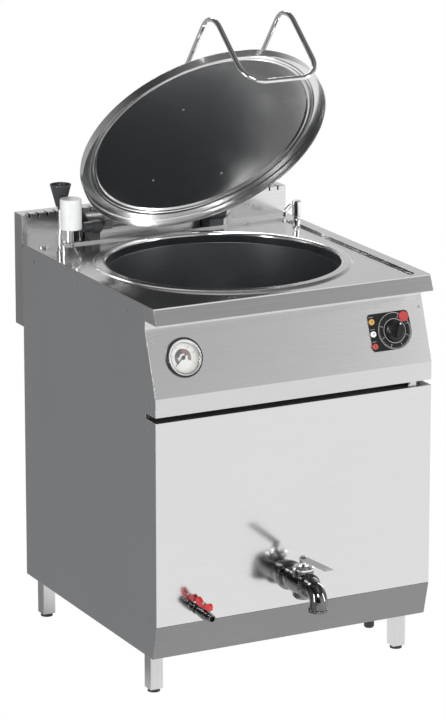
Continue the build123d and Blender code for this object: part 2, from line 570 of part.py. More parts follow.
# ------------------------------------------------------------------- gauge
gauge_plane = on_slope(GAUGE_X, GAUGE_S)
gauge_profile = Plane(origin=gauge_plane.origin, x_dir=(1, 0, 0), z_dir=-gauge_plane.y_dir)   # sketch y is height over the panel
gauge_axis = Axis(gauge_plane.origin, gauge_plane.z_dir)
with BuildPart() as gauge_case:
    with BuildSketch(gauge_profile):
        with BuildLine():
            Polyline((0, -34), (40, -34), (40, 0.1), (45, 0.1), (45, 2.6), (43.6, 4.0), (37.2, 4.0), (37.2, -6), (0, -6), (0, -34))
        make_face()
    revolve(axis=gauge_axis)
gauge_case.part.label = "gauge_case"
export_step(gauge_case.part, "parts/gauge_case.step")

with BuildPart() as gauge_bezel:
    with BuildSketch(gauge_profile):
        with BuildLine():
            Polyline((40.4, 4.1), (40.1, 5.2), (39.0, 6.0), (36.2, 5.6), (34.2, 4.0), (34.2, 2.6), (36.9, 2.6), (36.9, 4.1), (40.4, 4.1))
        make_face()
    revolve(axis=gauge_axis)
gauge_bezel.part.label = "gauge_bezel"
export_step(gauge_bezel.part, "parts/gauge_bezel.step")

with BuildPart() as gauge_dial:
    with BuildSketch(gauge_plane.offset(-5.9)):
        Circle(36.9)
        Circle(1.6, mode=Mode.SUBTRACT)
    extrude(amount=1.2)
gauge_dial.part.label = "gauge_dial"
export_step(gauge_dial.part, "parts/gauge_dial.step")

with BuildPart() as gauge_glass:
    with BuildSketch(gauge_plane.offset(0.6)):
        Circle(36.8)
    extrude(amount=1.8)
gauge_glass.part.label = "gauge_glass"
export_step(gauge_glass.part, "parts/gauge_glass.step")

# Needle: hub, tapered pointer towards the lower left, counterweight tail.
with BuildPart() as gauge_needle:
    with BuildSketch(gauge_plane.offset(-4.3)):
        Circle(4.6)
        with Locations((0, 0)):
            Polygon((-2.0, -1.4), (-19.5, -16.4), (-20.3, -15.4), (-3.4, 0.9), align=None)
            Polygon((1.2, 2.6), (7.2, 9.4), (9.4, 7.4), (3.0, 0.8), align=None)
    extrude(amount=1.0)
    with BuildSketch(gauge_plane.offset(-3.3)):
        Circle(3.4)
    extrude(amount=2.2)
    with BuildSketch(gauge_plane.offset(-5.6)):
        Circle(1.5)
    extrude(amount=1.5)
gauge_needle.part.label = "gauge_needle"
export_step(gauge_needle.part, "parts/gauge_needle.step")

# Gauge pipe: from the case's back to the jacket's left tapping.
gb = gauge_plane.from_local_coords((0, 0, -34.2))
with BuildPart() as pressure_pipe:
    with BuildLine() as pp_line:
        q1 = gauge_plane.from_local_coords((0, 0, -74))
        FilletPolyline(gb, q1, (fx(20), fy(150), 740), (fx(20), fy(PAN_Y), 700), (fx(PAN_X - JACKET_R + 0.5), fy(PAN_Y), 700), radius=10)
    with BuildSketch(gauge_plane.offset(-34.2)):
        Circle(4.0)
        Circle(2.6, mode=Mode.SUBTRACT)
    sweep(path=pp_line.line)
pressure_pipe.part.label = "pressure_pipe"
export_step(pressure_pipe.part, "parts/pressure_pipe.step")

# ----------------------------------------------------------------- controls
knob_plane = on_slope(KNOB_X, KNOB_S)
knob_profile = Plane(origin=knob_plane.origin, x_dir=(1, 0, 0), z_dir=-knob_plane.y_dir)
knob_axis = Axis(knob_plane.origin, knob_plane.z_dir)
plate_plane = on_slope(KNOB_X, KNOB_S, 0.1)
with BuildPart() as control_plate:
    with BuildSketch(plate_plane):
        with BuildLine():
            Polyline((3.0, -42.4), (-56, -42.4), (-61, -38), (-63.6, 38.0), (-59, 43.6), (29, 44.6))
            ThreePointArc((29, 44.6), (37.8, 41.6), (41.5, 33.0))
            ThreePointArc((41.5, 33.0), (42.8, 20), (43.3, 6.0))
            ThreePointArc((43.3, 6.0), (33.0, -28.5), (3.0, -42.4))
        make_face()
        Circle(7.0, mode=Mode.SUBTRACT)
        with Locations((560.4 - KNOB_X, 78.5 - KNOB_S + 28), (560.4 - KNOB_X, 78.5 - KNOB_S), (560.4 - KNOB_X, 78.5 - KNOB_S - 28)):
            Circle(5.2, mode=Mode.SUBTRACT)
        with Locations((27.6, 30.0)):
            Circle(3.0, mode=Mode.SUBTRACT)
    extrude(amount=2.0)
    fillet(control_plate.edges().filter_by(GeomType.LINE).filter_by(Axis(knob_plane.origin, knob_plane.z_dir)), 3.0)
control_plate.part.label = "control_plate"
export_step(control_plate.part, "parts/control_plate.step")

with BuildPart() as control_knob:
    with BuildSketch(knob_profile):
        with BuildLine():
            Polyline((0, 4.0), (25.0, 4.0), (25.0, 6.0), (23.6, 9.0), (19.5, 11.0), (17.6, 13.6), (0, 13.6), (0, 4.0))
        make_face()
    revolve(axis=knob_axis)
    with BuildSketch(knob_plane.offset(13.0)):
        SlotOverall(36, 8.5, rotation=68)
    extrude(amount=12.0, taper=4)
    with BuildSketch(knob_plane.offset(-18.0)):
        Circle(3.0)
    extrude(amount=23)
control_knob.part.label = "control_knob"
export_step(control_knob.part, "parts/control_knob.step")

with BuildPart() as selector_switch:
    with BuildSketch(knob_plane.offset(-46.0)):
        RectangleRounded(46, 46, 4)
    extrude(amount=42)
    with BuildSketch(knob_plane.offset(-4.0)):
        Circle(6.6)
    extrude(amount=3.6)
    with BuildSketch(knob_plane.offset(-20.0)):
        Circle(3.06)
    extrude(amount=20, mode=Mode.SUBTRACT)
selector_switch.part.label = "selector_switch"
export_step(selector_switch.part, "parts/selector_switch.step")

LAMPS = (("lamp_amber", 28.0), ("lamp_clear", 0.0), ("lamp_red", -28.0))
with BuildPart() as lamp_amber:
    with BuildSketch(on_slope(560.4, 78.5 + 28, 2.2)):
        Circle(7.0)
    extrude(amount=3.0)
    fillet(lamp_amber.edges().filter_by(GeomType.CIRCLE).sort_by(Axis(slope.origin, slope.z_dir))[-1], 1.6)
    with BuildSketch(on_slope(560.4, 78.5 + 28, -24.0)):
        Circle(5.0)
    extrude(amount=26.4)
lamp_amber.part.label = "lamp_amber"
export_step(lamp_amber.part, "parts/lamp_amber.step")

with BuildPart() as lamp_clear:
    with BuildSketch(on_slope(560.4, 78.5, 2.2)):
        Circle(7.0)
    extrude(amount=3.0)
    fillet(lamp_clear.edges().filter_by(GeomType.CIRCLE).sort_by(Axis(slope.origin, slope.z_dir))[-1], 1.6)
    with BuildSketch(on_slope(560.4, 78.5, -24.0)):
        Circle(5.0)
    extrude(amount=26.4)
lamp_clear.part.label = "lamp_clear"
export_step(lamp_clear.part, "parts/lamp_clear.step")

with BuildPart() as lamp_red:
    with BuildSketch(on_slope(560.4, 78.5 - 28, 2.2)):
        Circle(7.0)
    extrude(amount=3.0)
    fillet(lamp_red.edges().filter_by(GeomType.CIRCLE).sort_by(Axis(slope.origin, slope.z_dir))[-1], 1.6)
    with BuildSketch(on_slope(560.4, 78.5 - 28, -24.0)):
        Circle(5.0)
    extrude(amount=26.4)
lamp_red.part.label = "lamp_red"
export_step(lamp_red.part, "parts/lamp_red.step")

# Round cap over the thermal cut-out's reset, on the plate's corner.
with BuildPart() as reset_cap:
    with BuildSketch(on_slope(KNOB_X + 27.6, KNOB_S + 30.0, 2.2)):
        Circle(12.0)
    extrude(amount=2.4)
    fillet(reset_cap.edges().filter_by(GeomType.CIRCLE).sort_by(Axis(slope.origin, slope.z_dir))[-1], 1.0)
    with BuildSketch(on_slope(KNOB_X + 27.6, KNOB_S + 30.0, 0.3)):
        Circle(2.8)
    extrude(amount=2.0)
reset_cap.part.label = "reset_cap"
export_step(reset_cap.part, "parts/reset_cap.step")

# -------------------------------------------------------- worktop fittings
WELL_Z = TOP_Z - RECESS
# Filling pipe with a thicker manifold at its foot, running down to the jacket.
with BuildPart() as filling_pipe:
    with BuildLine() as fp_line:
        FilletPolyline((fx(RISER_X), fy(RISER_Y), 1019), (fx(RISER_X), fy(RISER_Y), 800), (fx(22), fy(PAN_Y + 130), 716), (fx(22), fy(PAN_Y + 60), 700),
                       (fx(PAN_X - 292), fy(PAN_Y + 60), 700), radius=12)
    with BuildSketch(Plane.XY.offset(1019)):
        with Locations((fx(RISER_X), fy(RISER_Y))):
            Circle(6.0)
            Circle(4.6, mode=Mode.SUBTRACT)
    sweep(path=fp_line.line)
    with BuildSketch(Plane.XY.offset(WELL_Z + 4.0)):
        with Locations((fx(RISER_X), fy(RISER_Y))):
            Circle(10.0)
            Circle(5.5, mode=Mode.SUBTRACT)
    extrude(amount=43.0)
    with BuildSketch(Plane.XY.offset(WELL_Z + 0.05)):
        with Locations((fx(RISER_X), fy(RISER_Y))):
            Circle(11.5)
            Circle(5.5, mode=Mode.SUBTRACT)
    extrude(amount=4.0)
filling_pipe.part.label = "filling_pipe"
export_step(filling_pipe.part, "parts/filling_pipe.step")

with BuildPart() as filling_funnel:
    with BuildSketch(Plane(origin=(fx(RISER_X), fy(RISER_Y), 0), x_dir=(1, 0, 0), z_dir=(0, -1, 0))):
        with BuildLine():
            Polyline((6.05, 1009), (7.4, 1009), (7.6, 1014), (11.4, 1016), (12.4, 1020), (23.8, 1063), (24.8, 1065), (24.8, 1068), (23.4, 1068), (22.6, 1064), (11.2, 1021.5), (5.0, 1019.1), (6.05, 1019.1), (6.05, 1009))
        make_face()
    revolve(axis=Axis((fx(RISER_X), fy(RISER_Y), 0), (0, 0, 1)))
filling_funnel.part.label = "filling_funnel"
export_step(filling_funnel.part, "parts/filling_funnel.step")

# Safety valve: chrome body branching off the manifold, a spindle, a lifting
# white cap, and two ears under the body that carry the test lever.
safe_profile = Plane(origin=(fx(SAFE_X), fy(SAFE_Y), 0), x_dir=(1, 0, 0), z_dir=(0, -1, 0))
safe_axis = Axis((fx(SAFE_X), fy(SAFE_Y), 0), (0, 0, 1))
LEVER_U = (-0.094, -0.99557)          # direction of the test lever, seen from above
lever_side = Plane(origin=(fx(SAFE_X), fy(SAFE_Y), 0), x_dir=(LEVER_U[0], LEVER_U[1], 0), z_dir=(LEVER_U[1], -LEVER_U[0], 0))
branch_dir = Vector(RISER_X - SAFE_X, RISER_Y - SAFE_Y, 0).normalized()
with BuildPart() as safety_valve_body:
    with BuildSketch(safe_profile):
        with BuildLine():
            Polyline((0, 942.5), (19.4, 942.5), (20.8, 944.0), (20.8, 971.0), (8, 971.0), (8, 1020), (0, 1020), (0, 942.5))
        make_face()
    revolve(axis=safe_axis)
    with BuildSketch(Plane(origin=(fx(SAFE_X) + branch_dir.X * 19, fy(SAFE_Y) + branch_dir.Y * 19, 951), x_dir=(0, 0, 1), z_dir=(branch_dir.X, branch_dir.Y, 0))):
        Circle(6.5)
    extrude(amount=16.0)
    with BuildSketch(Plane(origin=(fx(SAFE_X) + branch_dir.X * 22, fy(SAFE_Y) + branch_dir.Y * 22, 951), x_dir=(0, 0, 1), z_dir=(branch_dir.X, branch_dir.Y, 0))):
        RegularPolygon(9.0, 6)
    extrude(amount=7.0)
    with BuildSketch(lever_side.offset(-4.0)):
        with Locations((8.0, 936.0)):
            Circle(5.0)
        with Locations((8.0, 940.0)):
            Rectangle(10, 8.0)
    extrude(amount=8.0)
    with BuildSketch(lever_side.offset(-1.7)):
        with Locations((8.5, 936.2)):
            Rectangle(13, 12.4)
    extrude(amount=3.4, mode=Mode.SUBTRACT)
    with BuildSketch(lever_side.offset(-5.0)):
        with Locations((8.0, 936.0)):
            Circle(1.56)
    extrude(amount=10.0, mode=Mode.SUBTRACT)
safety_valve_body.part.label = "safety_valve_body"
export_step(safety_valve_body.part, "parts/safety_valve_body.step")

with BuildPart() as safety_valve_cap:
    with BuildSketch(safe_profile):
        with BuildLine():
            Polyline((8.06, 971.4), (25.3, 971.4), (25.3, 1039.5), (24.0, 1042.3), (0, 1042.3), (0, 1027), (8.06, 1027), (8.06, 971.4))
        make_face()
    revolve(axis=safe_axis)
safety_valve_cap.part.label = "safety_valve_cap"
export_step(safety_valve_cap.part, "parts/safety_valve_cap.step")

# Test lever: an eye on a cross pin, a thin drooping arm and a knob at its tip.
with BuildPart() as vent_lever:
    with BuildSketch(lever_side.offset(-1.4)):
        with Locations((8.0, 936.0)):
            Circle(3.4)
        Polygon((8.0, 938.4), (63.0, 912.8), (62.0, 909.8), (8.0, 933.6), align=None)
        with Locations((63.0, 911.0)):
            Circle(2.8)
    extrude(amount=2.8)
    with BuildSketch(lever_side.offset(-4.0)):
        with Locations((8.0, 936.0)):
            Circle(1.5)
    extrude(amount=8.0)
vent_lever.part.label = "vent_lever"
export_step(vent_lever.part, "parts/vent_lever.step")

# Water inlet: pillar on the worktop and a swivelling spout on its spigot.
with BuildPart() as water_tap_body:
    with BuildSketch(Plane(origin=(fx(WTAP_X), fy(WTAP_Y), 0), x_dir=(1, 0, 0), z_dir=(0, -1, 0))):
        with BuildLine():
            Polyline((4.0, WELL_Z - 30), (7.8, WELL_Z - 30), (7.8, WELL_Z + 0.05), (9.0, WELL_Z + 0.05), (9.0, 938), (7.5, 940), (7.5, 945.7), (6.0, 945.7), (6.0, 972), (4.0, 972), (4.0, WELL_Z - 30))
        make_face()
    revolve(axis=Axis((fx(WTAP_X), fy(WTAP_Y), 0), (0, 0, 1)))
water_tap_body.part.label = "water_tap_body"
export_step(water_tap_body.part, "parts/water_tap_body.step")

with BuildPart() as water_tap_spout:
    with BuildSketch(Plane(origin=(fx(WTAP_X), fy(WTAP_Y), 0), x_dir=(1, 0, 0), z_dir=(0, -1, 0))):
        with BuildLine():
            Polyline((6.06, 946), (9.6, 946), (10.4, 947), (10.4, 982), (9.2, 984), (0, 984), (0, 973), (6.06, 973), (6.06, 946))
        make_face()
    revolve(axis=Axis((fx(WTAP_X), fy(WTAP_Y), 0), (0, 0, 1)))
    with BuildLine() as ws_line:
        FilletPolyline((fx(WTAP_X) - 8, fy(WTAP_Y), 976), (fx(WTAP_X) - 14, fy(WTAP_Y), 976), (fx(WTAP_X) - 31, fy(WTAP_Y), 961), (fx(WTAP_X) - 31, fy(WTAP_Y), 950), radius=5)
    with BuildSketch(Plane(origin=(fx(WTAP_X) - 8, fy(WTAP_Y), 976), x_dir=(0, 1, 0), z_dir=(-1, 0, 0))):
        Circle(4.8)
    sweep(path=ws_line.line)
    with BuildSketch(Plane.XY.offset(949)):
        with Locations((fx(WTAP_X) - 31, fy(WTAP_Y))):
            Circle(6.0)
    extrude(amount=5)
    with BuildSketch(Plane.XY.offset(948)):
        with Locations((fx(WTAP_X) - 31, fy(WTAP_Y))):
            Circle(3.6)
    extrude(amount=9, mode=Mode.SUBTRACT)
water_tap_spout.part.label = "water_tap_spout"
export_step(water_tap_spout.part, "parts/water_tap_spout.step")

# Cold-water pipe from the back inlet up to the water tap.
with BuildPart() as water_pipe:
    with BuildLine() as wp_line:
        FilletPolyline((fx(INLET_X), fy(CAB_D + 22), INLET_Z), (fx(INLET_X), fy(686), INLET_Z), (fx(INLET_X), fy(686), 240), (fx(684), fy(640), 300), (fx(684), fy(640), 850),
                       (fx(WTAP_X), fy(WTAP_Y), 862), (fx(WTAP_X), fy(WTAP_Y), WELL_Z - 30.05), radius=8)
    with BuildSketch(Plane.XZ.offset(-fy(CAB_D + 22))):
        with Locations((fx(INLET_X), INLET_Z)):
            Circle(6.0)
            Circle(4.6, mode=Mode.SUBTRACT)
    sweep(path=wp_line.line)
    with BuildSketch(Plane.XZ.offset(-fy(CAB_D + 22))):
        with Locations((fx(INLET_X), INLET_Z)):
            Circle(10.4)
            Circle(5.5, mode=Mode.SUBTRACT)
    extrude(amount=21.8)
    with BuildSketch(Plane.XZ.offset(-fy(CAB_D + 2))):
        with Locations((fx(INLET_X), INLET_Z)):
            Circle(8.5)
            Circle(5.5, mode=Mode.SUBTRACT)
    extrude(amount=6)
water_pipe.part.label = "water_pipe"
export_step(water_pipe.part, "parts/water_pipe.step")

# Cable gland in the base tray: body, hexagon, dome nut below, lock nut above.
with BuildPart() as cable_gland:
    with BuildSketch(Plane.XY.offset(72)):
        with Locations((fx(GLAND_X), fy(GLAND_Y))):
            Circle(10.0)
    extrude(amount=3)
    with BuildSketch(Plane.XY.offset(75)):
        with Locations((fx(GLAND_X), fy(GLAND_Y))):
            Circle(12.0)
    extrude(amount=17)
    with BuildSketch(Plane.XY.offset(91.9)):
        with Locations((fx(GLAND_X), fy(GLAND_Y))):
            RegularPolygon(14.0, 6)
    extrude(amount=9.5)
    with BuildSketch(Plane.XY.offset(101.3)):
        with Locations((fx(GLAND_X), fy(GLAND_Y))):
            Circle(8.0)
    extrude(amount=7.7)
    with BuildSketch(Plane.XY.offset(103.1)):
        with Locations((fx(GLAND_X), fy(GLAND_Y))):
            RegularPolygon(12.0, 6)
    extrude(amount=4.0)
    with BuildSketch(Plane.XY.offset(70)):
        with Locations((fx(GLAND_X), fy(GLAND_Y))):
            Circle(6.0)
    extrude(amount=45, mode=Mode.SUBTRACT)
cable_gland.part.label = "cable_gland"
export_step(cable_gland.part, "parts/cable_gland.step")

# -------------------------------------------------------------------- hinge
SHAFT_R = 7.5
with BuildPart() as hinge_shaft:
    with BuildSketch(Plane.YZ.offset(fx(140.0))):
        with Locations((fy(HINGE_Y), HINGE_Z)):
            Circle(SHAFT_R)
    extrude(amount=378.0)
hinge_shaft.part.label = "hinge_shaft"
export_step(hinge_shaft.part, "parts/hinge_shaft.step")

BRACKET = [(658, TOP_Z + 0.05), (698, TOP_Z + 0.05), (698, 925), (682, 948), (669, 956.5), (649, 956.5), (643.5, 950), (643.5, 938), (651, 931), (658, 926)]
with BuildPart() as hinge_brackets:
    for bx, bw in ((160.0, 21.0), (471.0, 37.0)):
        with BuildSketch(Plane.YZ.offset(fx(bx))):
            Polygon(*[(fy(y), z) for y, z in BRACKET], align=None)
            with Locations((fy(HINGE_Y), HINGE_Z)):
                Circle(SHAFT_R + 0.03, mode=Mode.SUBTRACT)
        extrude(amount=bw)
hinge_brackets.part.label = "hinge_brackets"
export_step(hinge_brackets.part, "parts/hinge_brackets.step")

# Housing of the counterbalance spring, on the shaft's left end.
with BuildPart() as spring_housing:
    with BuildSketch(Plane.YZ.offset(fx(137.0))):
        with Locations((fy(HINGE_Y), HINGE_Z)):
            Circle(12.0)
    extrude(amount=22.9)
    fillet(spring_housing.edges().filter_by(GeomType.CIRCLE).sort_by(Axis.X)[0], 2.0)
    with BuildSketch(Plane.YZ.offset(fx(139.9))):
        with Locations((fy(HINGE_Y), HINGE_Z)):
            Circle(SHAFT_R + 0.03)
    extrude(amount=22.0, mode=Mode.SUBTRACT)
spring_housing.part.label = "spring_housing"
export_step(spring_housing.part, "parts/spring_housing.step")

# Polished cover plate on the right bracket's outer side.
with BuildPart() as hinge_end_plate:
    with BuildSketch(Plane.YZ.offset(fx(508.1))):
        Polygon(*[(fy(y), z) for y, z in BRACKET], align=None)
        with Locations((fy(HINGE_Y), HINGE_Z)):
            Circle(SHAFT_R + 0.03, mode=Mode.SUBTRACT)
    extrude(amount=5.0)
    with BuildSketch(Plane.YZ.offset(fx(513.1))):
        with Locations((fy(HINGE_Y), HINGE_Z)):
            Circle(11.0)
            Circle(SHAFT_R + 0.03, mode=Mode.SUBTRACT)
    extrude(amount=4.8)
hinge_end_plate.part.label = "hinge_end_plate"
export_step(hinge_end_plate.part, "parts/hinge_end_plate.step")

# ---------------------------------------------------------------------- lid
def cap_z(r, r_edge, rise):
    """Drop below its crown, at radius r, of a spherical cap of that edge radius and rise."""
    rho = (r_edge ** 2 + rise ** 2) / (2 * rise)
    return rho - math.sqrt(rho ** 2 - r ** 2)


# Lid shell: turned-down rim, flat border, drip bead and a shallow dome.
LT = LID_SEAT + LID_LIP
with BuildPart() as lid_shell:
    with BuildSketch(lid_profile):
        with BuildLine():
            l1 = Polyline((LID_R, LID_SEAT), (LID_R - 1.4, LID_SEAT), (LID_R - 1.4, LT - 2.6), (LID_R - 3.8, LT), (279, LT), (276.6, LT - 2.4), (273.4, LT - 3.8),
                          (270.2, LT - 2.4), (268.2, LT + 0.2), (265.6, LT - 1.6), (262.4, LT - 1.2), (259.0, LT + 3.2))
            zi, zo = LT + 28.0 - cap_z(8, 259.0, 24.8), LT + 29.4 - cap_z(8, 259.4, 24.8)
            l2 = ThreePointArc((259.0, LT + 3.2), (140, LT + 28.0 - cap_z(140, 259.0, 24.8)), (8, zi))
            l3 = Polyline((8, zi), (0, zi), (0, zo), (8, zo))
            l4 = ThreePointArc((8, zo), (140, LT + 29.4 - cap_z(140, 259.4, 24.8)), (259.4, LT + 4.6))
            l5 = Polyline((259.4, LT + 4.6), (264, LT + 2.0), (LID_R - 3.0, LT + 1.4), (LID_R - 0.8, LT + 0.4), (LID_R, LT - 1.6), (LID_R, LID_SEAT))
        make_face()
    revolve(axis=lid_axis)
lid_shell.part.label = "lid_shell"
export_step(lid_shell.part, "parts/lid_shell.step")

# Tube grip: two legs forward over the rim, dropping to a crossbar in front.
GX0, GX1 = PAN_X - GRIP_HALF, PAN_X + GRIP_HALF
GRIP_Z, GRIP_Y, GRIP_LOW, GRIP_ROOT = 969.0, -60.0, 747.0, 150.0
with BuildPart() as lid_handle:
    with BuildLine() as grip_line:
        FilletPolyline(lid_pt(GX0, GRIP_ROOT, 940), lid_pt(GX0, GRIP_ROOT, GRIP_Z), lid_pt(GX0, GRIP_Y, GRIP_Z), lid_pt(GX0, GRIP_Y, GRIP_LOW),
                       lid_pt(GX1, GRIP_Y, GRIP_LOW), lid_pt(GX1, GRIP_Y, GRIP_Z), lid_pt(GX1, GRIP_ROOT, GRIP_Z), lid_pt(GX1, GRIP_ROOT, 940),
                       radius=[18, 58, 52, 52, 58, 18])
    with BuildSketch(Plane(origin=lid_pt(GX0, GRIP_ROOT, 940), x_dir=(1, 0, 0), z_dir=lid_up)):
        Circle(GRIP_R)
    sweep(path=grip_line.line)
    with BuildSketch(Plane(origin=lid_pt(GX0, GRIP_ROOT, 938), x_dir=(1, 0, 0), z_dir=lid_up)):
        with Locations((0, 0), (2 * GRIP_HALF, 0)):
            Circle(13.0)
    extrude(amount=11.0)
    with BuildSketch(lid_profile):
        with BuildLine():
            Polyline((0, 900), (259.4, 900), (259.4, LT + 4.6))
            ThreePointArc((259.4, LT + 4.6), (140, LT + 29.4 - cap_z(140, 259.4, 24.8)), (0, LT + 29.4))
            Line((0, LT + 29.4), (0, 900))
        make_face()
    revolve(axis=lid_axis, mode=Mode.SUBTRACT)
lid_handle.part.label = "lid_handle"
export_step(lid_handle.part, "parts/lid_handle.step")

# Two hinge arms on the lid's border, their knuckles running on the shaft.
arm_plane = Plane(origin=lid_pt(0, HINGE_Y, HINGE_Z), x_dir=(0, LC, -LS), z_dir=(1, 0, 0))   # sketch x runs back, sketch y up, lid shut
with BuildPart() as hinge_arms:
    for ax in (184.0, 444.0):
        with BuildSketch(arm_plane.offset(ax)):
            Polygon((-46, LT + 2.1 - HINGE_Z), (-11, LT + 1.6 - HINGE_Z), (-6, -9.4), (0, -11), (8, -7.6), (11, 0), (0, 11), (-8, 9), (-40, -2), align=None)
            Circle(11.0)
            Circle(SHAFT_R + 0.06, mode=Mode.SUBTRACT)
        extrude(amount=24.0)
hinge_arms.part.label = "hinge_arms"
export_step(hinge_arms.part, "parts/hinge_arms.step")

# ------------------------------------------------------------ discharge tap
tap_profile = Plane(origin=(fx(TAP_X), 0, TAP_Z), x_dir=(0, 1, 0), z_dir=(1, 0, 0))   # sketch x is Y, sketch y height over the axis
plug_profile = Plane(origin=(fx(TAP_X), fy(PLUG_Y), 0), x_dir=(1, 0, 0), z_dir=(0, -1, 0))
plug_axis = Axis((fx(TAP_X), fy(PLUG_Y), 0), (0, 0, 1))
with BuildPart() as discharge_tap_body:
    with BuildSketch(tap_profile):
        with BuildLine():
            Polyline((fy(1.6), 0), (fy(1.6), 24.0), (fy(-0.1), 24.0), (fy(-0.1), 34.0), (fy(-4), 34.0), (fy(-7), 31.0), (fy(-7), 27.0), (fy(-30), 27.0),
                     (fy(-38), 29.5), (fy(-92), 29.5), (fy(-99), 24.0), (fy(-112), 22.0), (fy(-112), 0), (fy(1.6), 0))
        make_face()
    revolve(axis=Axis((fx(TAP_X), 0, TAP_Z), (0, 1, 0)))
    with BuildSketch(plug_profile):
        with BuildLine():
            Polyline((0, TAP_Z - 34), (18, TAP_Z - 34), (24, TAP_Z - 28), (24, TAP_Z + 33), (0, TAP_Z + 33), (0, TAP_Z - 34))
        make_face()
    revolve(axis=plug_axis)
    # spout: forward, then down
    with BuildLine() as spout_line:
        FilletPolyline((fx(TAP_X), fy(-108), TAP_Z), (fx(TAP_X), fy(SPOUT_Y), TAP_Z), (fx(TAP_X), fy(SPOUT_Y), TAP_Z - 44), radius=26)
    with BuildSketch(Plane.XZ.offset(-fy(-108))):
        with Locations((fx(TAP_X), TAP_Z)):
            Circle(20.5)
    sweep(path=spout_line.line)
    with BuildSketch(Plane.XY.offset(TAP_Z - 44)):
        with Locations((fx(TAP_X), fy(SPOUT_Y))):
            Circle(23.0)
    extrude(amount=6)
    # flow way
    with BuildLine() as bore_line:
        FilletPolyline((fx(TAP_X), fy(2), TAP_Z), (fx(TAP_X), fy(SPOUT_Y), TAP_Z), (fx(TAP_X), fy(SPOUT_Y), TAP_Z - 45), radius=26)
    with BuildSketch(Plane.XZ.offset(-fy(2))):
        with Locations((fx(TAP_X), TAP_Z)):
            Circle(17.0)
    sweep(path=bore_line.line, mode=Mode.SUBTRACT)
    # plug bore
    with BuildSketch(Plane.XY.offset(TAP_Z - 25)):
        with Locations((fx(TAP_X), fy(PLUG_Y))):
            Circle(20.06)
    extrude(amount=60, mode=Mode.SUBTRACT)
discharge_tap_body.part.label = "discharge_tap_body"
export_step(discharge_tap_body.part, "parts/discharge_tap_body.step")

with BuildPart() as discharge_tap_plug:
    with BuildSketch(Plane.XY.offset(TAP_Z - 24.7)):
        with Locations((fx(TAP_X), fy(PLUG_Y))):
            Circle(20.0)
    extrude(amount=49.4)
    with BuildSketch(Plane.XY.offset(TAP_Z + 24.7)):
        with Locations((fx(TAP_X), fy(PLUG_Y))):
            Circle(7.0)
    extrude(amount=25.3)
    with BuildSketch(Plane.XZ.offset(-fy(PLUG_Y + 30))):
        with Locations((fx(TAP_X), TAP_Z)):
            Circle(16.0)
    extrude(amount=60, mode=Mode.SUBTRACT)
discharge_tap_plug.part.label = "discharge_tap_plug"
export_step(discharge_tap_plug.part, "parts/discharge_tap_plug.step")

# Bonnet nut that closes the barrel round the plug's stem.
with BuildPart() as discharge_tap_bonnet:
    with BuildSketch(plug_profile):
        with BuildLine():
            Polyline((7.06, TAP_Z + 25.0), (20.0, TAP_Z + 25.0), (20.0, TAP_Z + 33.05), (24.5, TAP_Z + 33.05), (24.5, TAP_Z + 37.0), (21.5, TAP_Z + 40.0),
                     (13.0, TAP_Z + 42.0), (12.0, TAP_Z + 46.0), (7.06, TAP_Z + 46.0), (7.06, TAP_Z + 25.0))
        make_face()
    revolve(axis=plug_axis)
discharge_tap_bonnet.part.label = "discharge_tap_bonnet"
export_step(discharge_tap_bonnet.part, "parts/discharge_tap_bonnet.step")

# Flat lever with an upturned root, pointing to the front.
with BuildPart() as discharge_tap_lever:
    with BuildSketch(plug_profile):
        with BuildLine():
            Polyline((0, TAP_Z + 50.05), (8.5, TAP_Z + 50.05), (8.5, TAP_Z + 61.0), (6.5, TAP_Z + 63.0), (0, TAP_Z + 63.0), (0, TAP_Z + 50.05))
        make_face()
    revolve(axis=plug_axis)
    with BuildSketch(Plane(origin=(fx(TAP_X) - 9, 0, 0), x_dir=(0, 1, 0), z_dir=(1, 0, 0))):
        Polygon((fy(PLUG_Y + 4), TAP_Z + 56.5), (fy(PLUG_Y - 12), TAP_Z + 56.5), (fy(LEVER_TIP + 5), TAP_Z + 63.0), (fy(LEVER_TIP), TAP_Z + 65.6),
                (fy(LEVER_TIP + 1), TAP_Z + 68.6), (fy(LEVER_TIP + 8), TAP_Z + 67.2), (fy(PLUG_Y - 12), TAP_Z + 61.0), (fy(PLUG_Y + 4), TAP_Z + 61.0), align=None)
    extrude(amount=18)
discharge_tap_lever.part.label = "discharge_tap_lever"
export_step(discharge_tap_lever.part, "parts/discharge_tap_lever.step")

